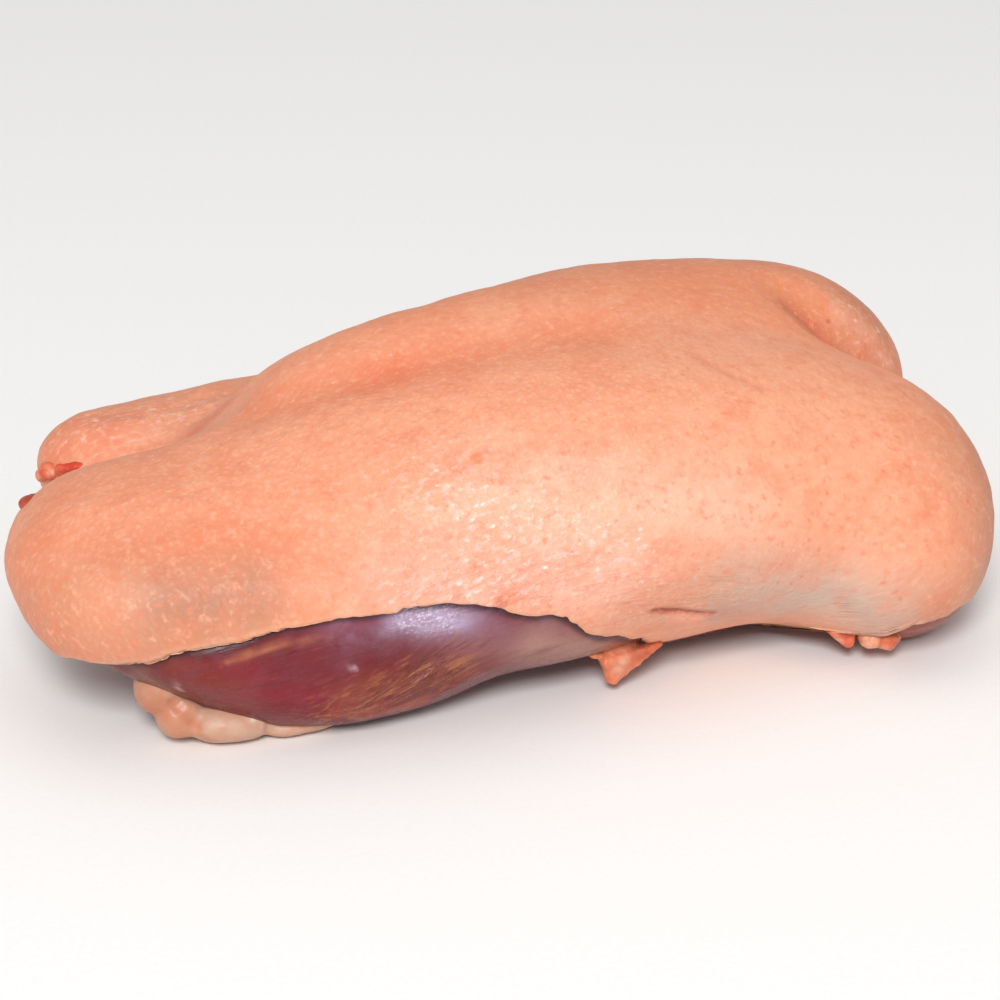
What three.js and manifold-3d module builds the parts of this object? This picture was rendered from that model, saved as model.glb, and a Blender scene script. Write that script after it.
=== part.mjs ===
// A raw bone-in goose breast, lying skin side up on its ribs.
// Millimetres, +Z up. +X points to the neck end, -Y to the side where the bare flank muscle shows.
// The outer form is a set of rounded masses that melt into each other, as muscle does under skin.
// The skin is a blanket of even thickness over the meat, cut off along a wavy edge near the table.
// Underneath is the open rib cavity, roofed by the breastbone and its ribs.

import * as THREE from 'three';
import { mergeVertices } from 'three/addons/utils/BufferGeometryUtils.js';
import Module from 'manifold-3d';

const wasm = await Module();
wasm.setup();

// Driving dimensions

const SKIN_THICKNESS = 4;
const GAP = 0.35;                     // clearance between neighbouring pieces
const FORM_BLEND = 7;                 // how softly the masses of the form melt together
const FLESH_BLEND = 4;
const GROOVE_WIDENING = 3;
const SMALL_BLEND = 2;
const HEART = [0, 0, 36];             // point inside the form that its faces are spread out from
const FORM_STRETCH = [130, 72, 44];
const REACH = 200;                    // farther from the heart than any face
const HALVINGS = 30;
const SAME_POINT = 1e-4;              // vertices nearer than this are one
const TO_MIDDLE = [5, 3.4, 0];        // puts the middle of the footprint on the origin

const FORM_DETAIL = 12;
const FLESH_DETAIL = 10;
const SMALL_DETAIL = 2;

// Rounded masses under the skin
const FORM_MASSES = {
  nearLobe: { centre: [22, -26, 41], radii: [92, 46, 38] },
  nearShoulder: { centre: [91, -34, 27], radii: [31, 39, 30.5] },
  farLobe: { centre: [44, 26, 42], radii: [74, 38, 38] },
  farShoulder: { centre: [86, 33, 38], radii: [32, 31, 29.5] },
  keel: { centre: [6, 6, 48], radii: [80, 28, 35.3] },
  nearSlope: { centre: [-34, -12, 44], radii: [54, 32, 25] },
  nearFlank: { centre: [-46, -36, 34], radii: [72, 34, 25] },
  farFlank: { centre: [-22, 38, 30], radii: [70, 28, 24] },
  nearTail: { centre: [-94, -20, 36.6], radii: [38, 36, 21.4] },
  nearCorner: { centre: [-108, -40, 35.6], radii: [16, 16, 11.4] },
  farTail: { centre: [-75, 41, 35.5], radii: [36, 16, 12] },
  farCorner: { centre: [-99, 36, 36], radii: [10, 11, 9] },
  tailCrest: { centre: [-111, 3, 38], radii: [9, 12, 9] },
};

// Grooves pressed into the form: a path, and the depth at its first and last point
const FORM_GROOVES = {
  neck: { path: [[84, 12, 77], [96, 3, 66], [108, -1, 54], [118, -3, 42]], depths: [3, 14], width: 8 },
  keelSide: { path: [[-68, -12, 72], [-31, -15, 77], [22, -14, 81]], depths: [2, 1], width: 8 },
  flank: { path: [[-116, -44, 52], [-79, -56, 54], [-58, -61, 52]], depths: [2, 1], width: 10 },
  tail: { path: [[-114, 12, 48], [-92, 8, 56], [-72, 6, 66]], depths: [7, 3], width: 11 },
};

// Bare muscle of the flanks and the rim of flesh that the breast stands on
const FLESH_MASSES = {
  nearBelly: { centre: [-55, -44, 17], radii: [41, 25, 19] },
  nearBellyEnd: { centre: [-86, -44, 24], radii: [23, 21, 11] },
  nearStrip: { centre: [-16, -46, 22], radii: [52, 19, 13] },
  farBelly: { centre: [-34, 36, 16], radii: [66, 24, 19] },
  neckEnd: { centre: [95, -32, 20], radii: [21, 32, 22] },
  rim: { centre: [16, 0, 14], radii: [98, 48, 20] },
};

// Height of the skin's cut edge along each side, as pairs of x and z
const NEAR_EDGE = [
  [-140, 18], [-128, 21], [-120, 25], [-108, 27], [-96, 31], [-60, 37], [-34, 38],
  [-8, 31], [10, 20], [28, 8], [62, 4], [73, 9], [92, 9.5], [104, 15], [130, 15],
];
const FAR_EDGE = [[-140, 22], [-100, 24], [-50, 27], [0, 20], [50, 9], [130, 11]];
const EDGE_WAVES = { length: 9, height: 0.7 };
const EDGE_BOX = { length: 300, width: 190, depth: 60, cell: 6 };
const UNDERSIDE_RISE = { from: 44, height: 10 };
const TAIL_NOTCH = { x: -120, y: 18, halfLength: 12, halfWidth: 9, height: 24 };

// Open rib cavity and the bones that line it
const CAVITY = { centre: [4, 0, -2], radii: [84, 29, 25] };
const CAVITY_DETAIL = 5;
const BREASTBONE = { thickness: 3, proud: 1, halfWidth: 17, neckX: 58, tailX: -66, notch: 9 };
const RIBS = {
  count: 5, firstX: -48, spacing: 22, radius: 2.3, lean: 9,
  fromTurn: 0.5, toTurn: 1.3, sides: 6, steps: 4,
};

// Small trim that shows along the lower edge and at the tail
const FLANK_FAT = {
  bump: { centre: [-101, -49, 14.5], radii: [6.8, 7.4, 7.6] },
  lip: { centre: [-96.5, -51.5, 7.5], radii: [6.8, 6.5, 6.2] },
  sac: { centre: [-83.5, -53.5, 5.2], radii: [13, 7.4, 5.5] },
  sheet: { centre: [-68, -53.5, 2.7], radii: [12, 6.4, 3.2] },
};
const FAT_TAG = {
  root: { centre: [19, -56, 14], radii: [8, 5, 4] },
  drop: { centre: [13, -57, 9], radii: [5, 4, 6] },
};
const NECK_TAG_A = { bit: { centre: [74.5, -57.5, 8], radii: [3.6, 4, 3.8] } };
const NECK_TAG_B = { bit: { centre: [83.5, -60, 7], radii: [6.2, 4.4, 3.6] } };
const TAIL_FLESH = {
  sliver: { centre: [-110, 24.5, 41.5], radii: [6, 4, 3.4] },
  bit: { centre: [-114.5, 29, 39.5], radii: [4.5, 4.5, 3.5] },
};
const TAIL_SCRAP = { bit: { centre: [-124.5, -5, 47], radii: [4.5, 4, 3.5] } };

const FINISH = {
  skin: { color: 0xf0a67c, roughness: 0.45 },
  meat: { color: 0x8a3c44, roughness: 0.35 },
  bone: { color: 0xe6d3bd, roughness: 0.5 },
  paleFat: { color: 0xe9b79c, roughness: 0.4 },
  rawFat: { color: 0xd97d58, roughness: 0.35 },
  rawFlesh: { color: 0xc9583c, roughness: 0.35 },
};

// Shape functions

// Near a rounded mass: below zero inside it, and about the distance in millimetres outside it.
function massDepth(p, { centre, radii }) {
  let near = 0;
  let steep = 0;
  for (let axis = 0; axis < 3; axis += 1) {
    const q = (p[axis] - centre[axis]) / radii[axis];
    near += q * q;
    steep += (q / radii[axis]) ** 2;
  }
  const size = Math.sqrt(near);
  return size * (size - 1) / (Math.sqrt(steep) + 1e-9);
}

// Melts several depths into one, rounding the seams between them.
function melt(depths, blend) {
  let sum = 0;
  for (const depth of depths) sum += Math.exp(-depth / blend);
  return -blend * Math.log(sum);
}

// How far a point is from a path, and how far along the path that is, from 0 to 1.
function nearPath(p, path) {
  const point = new THREE.Vector3(...p);
  const leg = new THREE.Line3();
  const legs = path.length - 1;
  const nearest = { away: Infinity, along: 0 };
  for (let i = 0; i < legs; i += 1) {
    leg.set(new THREE.Vector3(...path[i]), new THREE.Vector3(...path[i + 1]));
    const share = leg.closestPointToPointParameter(point, true);
    const away = leg.at(share, new THREE.Vector3()).distanceTo(point);
    if (away < nearest.away) {
      nearest.away = away;
      nearest.along = (i + share) / legs;
    }
  }
  return nearest;
}

function massesField(masses, blend) {
  const list = Object.values(masses);
  return (p) => melt(list.map((mass) => massDepth(p, mass)), blend);
}

const roundForm = massesField(FORM_MASSES, FORM_BLEND);

// The outer form. Its grooves are a little wider in the flesh than in the skin over it.
function formField(p, widen = 0) {
  let depth = roundForm(p);
  for (const { path, depths, width } of Object.values(FORM_GROOVES)) {
    const { away, along } = nearPath(p, path);
    const reach = away / (width + widen);
    depth += THREE.MathUtils.lerp(...depths, along) * Math.exp(-reach * reach);
  }
  return depth;
}

function fleshField(p) {
  const bare = Object.values(FLESH_MASSES).map((mass) => massDepth(p, mass));
  return melt([formField(p, GROOVE_WIDENING) + SKIN_THICKNESS, ...bare], FLESH_BLEND);
}

// A geometry with nothing but places, and with its shared vertices merged.
function plain(geometry) {
  geometry.deleteAttribute('normal');
  geometry.deleteAttribute('uv');
  return mergeVertices(geometry, SAME_POINT);
}

// A closed skin of triangles where a field crosses zero, spread out from a point inside it.
function blob(field, heart, stretch, detail, grow = 0) {
  const merged = plain(new THREE.IcosahedronGeometry(1, detail));
  const place = merged.attributes.position;
  const ray = new THREE.Vector3();
  for (let i = 0; i < place.count; i += 1) {
    ray.fromBufferAttribute(place, i).multiply(new THREE.Vector3(...stretch)).normalize();
    let inside = 0;
    let outside = REACH;
    for (let k = 0; k < HALVINGS; k += 1) {
      const middle = (inside + outside) / 2;
      const p = [heart[0] + ray.x * middle, heart[1] + ray.y * middle, heart[2] + ray.z * middle];
      if (field(p) > 0) outside = middle;
      else inside = middle;
    }
    ray.multiplyScalar(inside + grow);
    place.setXYZ(i, heart[0] + ray.x, heart[1] + ray.y, heart[2] + ray.z);
  }
  return merged;
}

function smallBlob(masses, grow = 0) {
  const list = Object.values(masses);
  const heart = [0, 1, 2].map((axis) => list.reduce((sum, m) => sum + m.centre[axis], 0) / list.length);
  return blob(massesField(masses, SMALL_BLEND), heart, [1, 1, 1], SMALL_DETAIL, grow);
}

// Smooth height between stations of x and z.
function heightAlong(stations, x) {
  let next = stations.findIndex((station) => station[0] > x);
  if (next < 0) next = stations.length - 1;
  next = Math.max(next, 1);
  const [x0, z0] = stations[next - 1];
  const [x1, z1] = stations[next];
  return THREE.MathUtils.lerp(z0, z1, THREE.MathUtils.smoothstep(x, x0, x1));
}

// Height below which the skin is cut away.
function skinEdge(x, y) {
  const side = THREE.MathUtils.smoothstep(y, -UNDERSIDE_RISE.from / 2, UNDERSIDE_RISE.from / 2);
  const edge = THREE.MathUtils.lerp(heightAlong(NEAR_EDGE, x), heightAlong(FAR_EDGE, x), side);
  const waves = Math.sin(x / EDGE_WAVES.length * Math.PI) * Math.cos(y / EDGE_WAVES.length * 2);
  const under = UNDERSIDE_RISE.height * THREE.MathUtils.clamp(1 - Math.abs(y) / UNDERSIDE_RISE.from, 0, 1);
  const { x: notchX, y: notchY, halfLength, halfWidth, height } = TAIL_NOTCH;
  const notch = height * Math.exp(-(((x - notchX) / halfLength) ** 2) - ((y - notchY) / halfWidth) ** 2);
  return edge + EDGE_WAVES.height * waves + under + notch;
}

function skinCutter() {
  const { length, width, depth, cell } = EDGE_BOX;
  const box = new THREE.BoxGeometry(length, width, depth, length / cell, Math.round(width / cell), 1);
  const merged = plain(box);
  const place = merged.attributes.position;
  for (let i = 0; i < place.count; i += 1) {
    const top = place.getZ(i) > 0;
    place.setZ(i, top ? skinEdge(place.getX(i), place.getY(i)) : -depth);
  }
  return merged;
}

// Solids

function solid(geometry) {
  return new wasm.Manifold(new wasm.Mesh({
    numProp: 3,
    vertProperties: new Float32Array(geometry.attributes.position.array),
    triVerts: new Uint32Array(geometry.index.array),
  }));
}

function joined(solids) {
  return solids.reduce((sum, next) => sum.add(next));
}

function mesh(name, shape, finish) {
  const { vertProperties, triVerts, numProp } = shape.getMesh();
  const places = [];
  for (let i = 0; i < vertProperties.length; i += numProp) {
    places.push(vertProperties[i], vertProperties[i + 1], vertProperties[i + 2]);
  }
  const geometry = new THREE.BufferGeometry();
  geometry.setAttribute('position', new THREE.Float32BufferAttribute(places, 3));
  geometry.setIndex(Array.from(triVerts));
  geometry.computeVertexNormals();
  const made = new THREE.Mesh(geometry, new THREE.MeshStandardMaterial({ metalness: 0, ...finish }));
  made.name = name;
  return made;
}

function belowTable() {
  const { length, width, depth } = EDGE_BOX;
  const box = new THREE.BoxGeometry(length, width, depth);
  box.translate(0, 0, -depth / 2);
  return solid(plain(box));
}

// The rounded hollow under the ribs, made larger or smaller by an amount.
function cavity(grow = 0) {
  const ball = new THREE.IcosahedronGeometry(1, CAVITY_DETAIL);
  const [rx, ry, rz] = CAVITY.radii;
  ball.scale(rx + grow, ry + grow, rz + grow);
  ball.translate(...CAVITY.centre);
  return solid(plain(ball));
}

// The breastbone is the roof of the cavity, cut to a long plate with two notches at its tail end.
function breastbonePlate(grow = 0) {
  const { thickness, proud, halfWidth, neckX, tailX, notch } = BREASTBONE;
  const outline = new THREE.Shape();
  outline.moveTo(neckX + grow, 0);
  outline.quadraticCurveTo(neckX + grow, halfWidth + grow, neckX - halfWidth, halfWidth + grow);
  outline.lineTo(tailX + halfWidth, halfWidth - notch / 2 + grow);
  outline.lineTo(tailX - grow, halfWidth - notch / 2 + grow);
  outline.lineTo(tailX + notch - grow, 0);
  outline.lineTo(tailX - grow, -halfWidth + notch / 2 - grow);
  outline.lineTo(tailX + halfWidth, -halfWidth + notch / 2 - grow);
  outline.lineTo(neckX - halfWidth, -halfWidth - grow);
  outline.quadraticCurveTo(neckX + grow, -halfWidth - grow, neckX + grow, 0);
  const tall = CAVITY.radii[2] * 2;
  const slab = new THREE.ExtrudeGeometry(outline, { depth: tall, bevelEnabled: false, curveSegments: 6 });
  const shell = cavity(thickness + grow).subtract(cavity(-proud));
  return shell.intersect(solid(plain(slab)));
}

// A rib follows the cavity wall from beside the breastbone down towards the table.
function ribPath(x, side) {
  const [rx, ry, rz] = CAVITY.radii;
  const points = [];
  for (let i = 0; i <= RIBS.steps; i += 1) {
    const turn = THREE.MathUtils.lerp(RIBS.fromTurn, RIBS.toTurn, i / RIBS.steps);
    const along = x - RIBS.lean * (turn - RIBS.fromTurn);
    const scale = Math.sqrt(1 - ((along - CAVITY.centre[0]) / rx) ** 2);
    points.push(new THREE.Vector3(
      along,
      side * ry * scale * Math.sin(turn),
      CAVITY.centre[2] + rz * scale * Math.cos(turn),
    ));
  }
  return new THREE.CatmullRomCurve3(points);
}

function rib(x, side, grow = 0) {
  const section = new THREE.Shape();
  const radius = RIBS.radius + grow;
  for (let i = 0; i < RIBS.sides; i += 1) {
    const turn = i / RIBS.sides * 2 * Math.PI;
    const corner = [radius * Math.cos(turn), radius * Math.sin(turn)];
    if (i === 0) section.moveTo(...corner);
    else section.lineTo(...corner);
  }
  section.closePath();
  const bar = new THREE.ExtrudeGeometry(section, { steps: RIBS.steps, extrudePath: ribPath(x, side) });
  return solid(plain(bar));
}

function bones(grow = 0) {
  const ribs = [];
  for (let i = 0; i < RIBS.count; i += 1) {
    const x = RIBS.firstX + i * RIBS.spacing;
    ribs.push(rib(x, -1, grow), rib(x, 1, grow));
  }
  return joined([breastbonePlate(grow), ...ribs]);
}

// Assembly

const trims = {
  flank_fat: { masses: FLANK_FAT, finish: FINISH.paleFat },
  fat_tag: { masses: FAT_TAG, finish: FINISH.rawFat },
  neck_tag_a: { masses: NECK_TAG_A, finish: FINISH.rawFat },
  neck_tag_b: { masses: NECK_TAG_B, finish: FINISH.rawFat },
  tail_flesh: { masses: TAIL_FLESH, finish: FINISH.rawFlesh },
  tail_scrap: { masses: TAIL_SCRAP, finish: FINISH.rawFlesh },
};

const table = belowTable();
const trimRoom = joined(Object.values(trims).map(({ masses }) => solid(smallBlob(masses, GAP))));

const meat = solid(blob(fleshField, HEART, FORM_STRETCH, FLESH_DETAIL))
  .subtract(table)
  .subtract(cavity())
  .subtract(bones(GAP))
  .subtract(trimRoom);

const skin = solid(blob(formField, HEART, FORM_STRETCH, FORM_DETAIL))
  .subtract(solid(blob(fleshField, HEART, FORM_STRETCH, FLESH_DETAIL, GAP)))
  .subtract(solid(skinCutter()))
  .subtract(trimRoom);

const breast = new THREE.Group();
breast.add(mesh('skin', skin, FINISH.skin));
breast.add(mesh('breast_meat', meat, FINISH.meat));
breast.add(mesh('breastbone', bones(), FINISH.bone));
for (const [name, { masses, finish }] of Object.entries(trims)) {
  breast.add(mesh(name, solid(smallBlob(masses)).subtract(table), finish));
}
breast.position.set(...TO_MIDDLE);

export default breast;
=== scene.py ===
"""A raw bone-in goose breast, lying skin side up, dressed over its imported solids.

Sizes are millimetres in the frame of the breast's own form, whose heart is over the origin. They
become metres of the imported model's frame when a mesh is made.
"""

import itertools
import logging
import math
from collections.abc import Callable
from dataclasses import dataclass, field
from enum import Enum

import bmesh
import bpy
import numpy as np
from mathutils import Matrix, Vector


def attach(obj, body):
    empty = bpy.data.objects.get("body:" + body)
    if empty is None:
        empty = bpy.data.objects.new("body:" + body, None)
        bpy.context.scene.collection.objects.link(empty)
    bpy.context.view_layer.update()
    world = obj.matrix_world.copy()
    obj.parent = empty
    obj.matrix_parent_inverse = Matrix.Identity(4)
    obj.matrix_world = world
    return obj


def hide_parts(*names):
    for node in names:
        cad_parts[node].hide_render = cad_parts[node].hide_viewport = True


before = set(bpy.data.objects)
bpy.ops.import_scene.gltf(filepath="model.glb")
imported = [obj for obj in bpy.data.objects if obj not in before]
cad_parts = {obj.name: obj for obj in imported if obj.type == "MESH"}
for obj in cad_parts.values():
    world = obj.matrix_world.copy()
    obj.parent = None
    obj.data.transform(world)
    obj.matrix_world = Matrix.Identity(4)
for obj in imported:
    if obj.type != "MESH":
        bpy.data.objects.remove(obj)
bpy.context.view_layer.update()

TO_MIDDLE = (5.0, 3.4, 0.0)  # puts the middle of the footprint on the origin
MILLIMETRE = 0.001
BODY = "root"
EDGE_SEARCH = (60.0, 172.0)  # where the cut edge can lie, in degrees from straight up
FOOT_SEARCH = (80.0, 178.0)  # where the meat can meet the table

Point = tuple[float, float, float]
Colour = tuple[int, int, int]
Socket = bpy.types.NodeSocket
Value = float | bpy.types.NodeSocket
Paint = Colour | bpy.types.NodeSocket

log = logging.getLogger("goose_breast")


# Shared measures


def to_frame(places: np.ndarray) -> np.ndarray:
    """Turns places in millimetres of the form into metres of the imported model's frame."""
    return (places + np.array(TO_MIDDLE)) * MILLIMETRE


def ease(share: np.ndarray) -> np.ndarray:
    """Slows a share from 0 to 1 down at both ends."""
    held = np.clip(share, 0.0, 1.0)
    return held * held * (3.0 - 2.0 * held)


def ramp(value: np.ndarray, low: float, high: float) -> np.ndarray:
    """How far a value is on its way from low to high, smoothed, from 0 to 1."""
    return ease((value - low) / (high - low))


def linear(colour: Colour) -> np.ndarray:
    """Turns a colour as a screen shows it, 0 to 255, into its linear light."""
    shown = np.array(colour, float) / 255.0
    return np.where(shown <= 0.04045, shown / 12.92, ((shown + 0.055) / 1.055) ** 2.4)


def lerp(start: np.ndarray, end: np.ndarray, share: np.ndarray) -> np.ndarray:
    """Moves rows of one array towards another by a share for each row."""
    return start + (end - start) * share[:, None]


def melt(depths: list[np.ndarray], blend: float) -> np.ndarray:
    """Melts several depths into one, rounding the seams between them."""
    return -blend * np.log(sum(np.exp(-depth / blend) for depth in depths))


@dataclass(frozen=True)
class Lumps:
    """Smooth random unevenness through space.

    Each seed gives its own pattern, and size is the length of one lump in millimetres. A stretch
    draws the lumps out along an axis.
    """

    seed: int
    size: float
    stretch: Point = (1.0, 1.0, 1.0)
    layers: int = 1
    cells: int = 48
    turn: float = 0.0

    def at(self, places: np.ndarray) -> np.ndarray:
        """Gives the unevenness at some places.

        Args:
            places: rows of x, y and z.

        Returns:
            One value for each row, about -1 to 1.
        """
        lattice = np.random.default_rng(self.seed).uniform(-1.0, 1.0, (self.cells,) * 3)
        turned = places.copy()
        cos, sin = math.cos(self.turn), math.sin(self.turn)
        turned[:, 0] = cos * places[:, 0] + sin * places[:, 2]
        turned[:, 2] = cos * places[:, 2] - sin * places[:, 0]
        total = np.zeros(len(places))
        strength = 1.0
        for layer in range(self.layers):
            cell = turned / (np.array(self.stretch) * self.size) * 2.0**layer + 17.3 * layer
            low = np.floor(cell).astype(int)
            share = ease(cell - low)
            for corner in itertools.product((0, 1), repeat=3):
                index = (low + corner) % self.cells
                weight = np.where(corner, share, 1.0 - share).prod(axis=1)
                total += strength * weight * lattice[index[:, 0], index[:, 1], index[:, 2]]
            strength *= 0.5
        return total


@dataclass(frozen=True)
class Mass:
    """A rounded mass of flesh, given by its centre and its radii."""

    centre: Point
    radii: Point

    def depth(self, places: np.ndarray) -> np.ndarray:
        """Below zero inside the mass, and about the distance outside it.

        Args:
            places: rows of x, y and z.

        Returns:
            One depth for each row, in millimetres.
        """
        q = (places - np.array(self.centre)) / np.array(self.radii)
        size = np.linalg.norm(q, axis=1)
        steep = np.linalg.norm(q / np.array(self.radii), axis=1) + 1e-9
        return size * (size - 1.0) / steep


@dataclass(frozen=True)
class Stroke:
    """A soft line through space, such as a crease or a stain.

    width is how far from the path it fades to about a third.
    """

    path: tuple[Point, ...]
    width: float

    def near(self, places: np.ndarray) -> tuple[np.ndarray, np.ndarray]:
        """Finds how far places are from the path.

        Args:
            places: rows of x, y and z.

        Returns:
            The distance of each row from the path, and how far along the path it is, 0 to 1.
        """
        stations = np.array(self.path, float)
        if len(stations) == 1:
            return np.linalg.norm(places - stations[0], axis=1), np.zeros(len(places))
        away = np.full(len(places), np.inf)
        along = np.zeros(len(places))
        legs = len(stations) - 1
        for leg in range(legs):
            start, way = stations[leg], stations[leg + 1] - stations[leg]
            share = np.clip((places - start) @ way / (way @ way), 0.0, 1.0)
            distance = np.linalg.norm(places - start - share[:, None] * way, axis=1)
            nearer = distance < away
            away = np.where(nearer, distance, away)
            along = np.where(nearer, (leg + share) / legs, along)
        return away, along

    def cover(self, places: np.ndarray, widen: float = 0.0) -> np.ndarray:
        """How strongly the stroke covers each place, from 0 to 1."""
        return np.exp(-((self.near(places)[0] / (self.width + widen)) ** 2))


@dataclass(frozen=True)
class Patch:
    """A soft stroke of a colour."""

    stroke: Stroke
    colour: Colour
    strength: float


class Painting:
    """The colours of a piece's vertices, while they are laid over each other."""

    def __init__(self, places: np.ndarray, ground: Colour) -> None:
        """Starts with one colour all over."""
        self.places = places
        self.colours = np.tile(linear(ground), (len(places), 1))

    def lay(self, colour: Colour, share: np.ndarray) -> None:
        """Covers what is there by a share of a colour."""
        self.colours = lerp(self.colours, linear(colour)[None], np.clip(share, 0, 1))

    def touch(self, patches: tuple[Patch, ...], fraying: float, seed: int) -> None:
        """Lays strokes whose edges wander.

        Args:
            patches: the strokes, from the lowest to the top one.
            fraying: how far the edge of a stroke wanders, as a share of its width.
            seed: makes the pattern of the wandering.
        """
        for patch in patches:
            width = patch.stroke.width
            near = np.flatnonzero(patch.stroke.near(self.places)[0] < 3.0 * width)
            places = self.places[near]
            astray = np.stack([
                Lumps(seed + axis, width * 1.6, stretch=(2.0, 1.0, 1.0), layers=3).at(places)
                for axis in range(3)
            ], axis=1)
            share = patch.strength * patch.stroke.cover(places + astray * fraying * width)
            self.colours[near] = lerp(self.colours[near], linear(patch.colour)[None], share)


@dataclass(frozen=True)
class Groove:
    """A stroke that is pressed into the form, with its depth at its first and last point."""

    stroke: Stroke
    depths: tuple[float, float]

    def press(self, places: np.ndarray, widen: float = 0.0) -> np.ndarray:
        """How deep the groove is at each place, in millimetres.

        Args:
            places: rows of x, y and z.
            widen: how much wider than its stroke the groove is.

        Returns:
            One depth for each row.
        """
        away, along = self.stroke.near(places)
        depth = self.depths[0] + (self.depths[1] - self.depths[0]) * along
        return depth * np.exp(-((away / (self.stroke.width + widen)) ** 2))


@dataclass(frozen=True)
class CutEdge:
    """The height of the skin's cut edge over the table, as stations of x and z on each side."""

    near: tuple[tuple[float, float], ...] = (
        (-140, 18), (-128, 21), (-120, 25), (-108, 27), (-96, 31), (-60, 37), (-34, 38),
        (-8, 31), (10, 20), (19, 16), (24, 10), (28, 8), (62, 4), (73, 9), (84, 9.5), (90, 13.5),
        (97, 14.5), (104, 15), (130, 15),
    )
    far: tuple[tuple[float, float], ...] = (
        (-140, 22), (-100, 24), (-50, 27), (0, 20), (50, 9), (130, 11),
    )
    wave_length: float = 9.0
    wave_height: float = 0.3
    under_from: float = 44.0
    under_height: float = 10.0
    notch_middle: tuple[float, float] = (-120.0, 18.0)
    notch_size: tuple[float, float] = (12.0, 9.0)
    notch_height: float = 24.0

    def along(self, stations: tuple[tuple[float, float], ...], x: np.ndarray) -> np.ndarray:
        """Smooth height between the stations of one side.

        Args:
            stations: x and z of each station.
            x: where the height is wanted.

        Returns:
            One height for each x.
        """
        xs, zs = np.array(stations, float).T
        leg = np.clip(np.searchsorted(xs, x, side="right"), 1, len(xs) - 1)
        share = ramp(x, xs[leg - 1], xs[leg])
        return zs[leg - 1] + (zs[leg] - zs[leg - 1]) * share

    def height(self, places: np.ndarray) -> np.ndarray:
        """Height of the edge over or under some places.

        Args:
            places: rows of x, y and z.

        Returns:
            One height for each row, in millimetres over the table.
        """
        x, y = places[:, 0], places[:, 1]
        side = ramp(y, -self.under_from / 2, self.under_from / 2)
        edge = self.along(self.near, x) * (1 - side) + self.along(self.far, x) * side
        waves = np.sin(x / self.wave_length * math.pi) * np.cos(y / self.wave_length * 2)
        under = self.under_height * np.clip(1 - np.abs(y) / self.under_from, 0, 1)
        notch = self.notch_height * np.exp(
            -(((x - self.notch_middle[0]) / self.notch_size[0]) ** 2)
            - ((y - self.notch_middle[1]) / self.notch_size[1]) ** 2
        )
        return edge + self.wave_height * waves + under + notch


class Layer(Enum):
    """A layer of the breast that a surface can follow."""

    SKIN = "skin"
    FLESH = "flesh"


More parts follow.
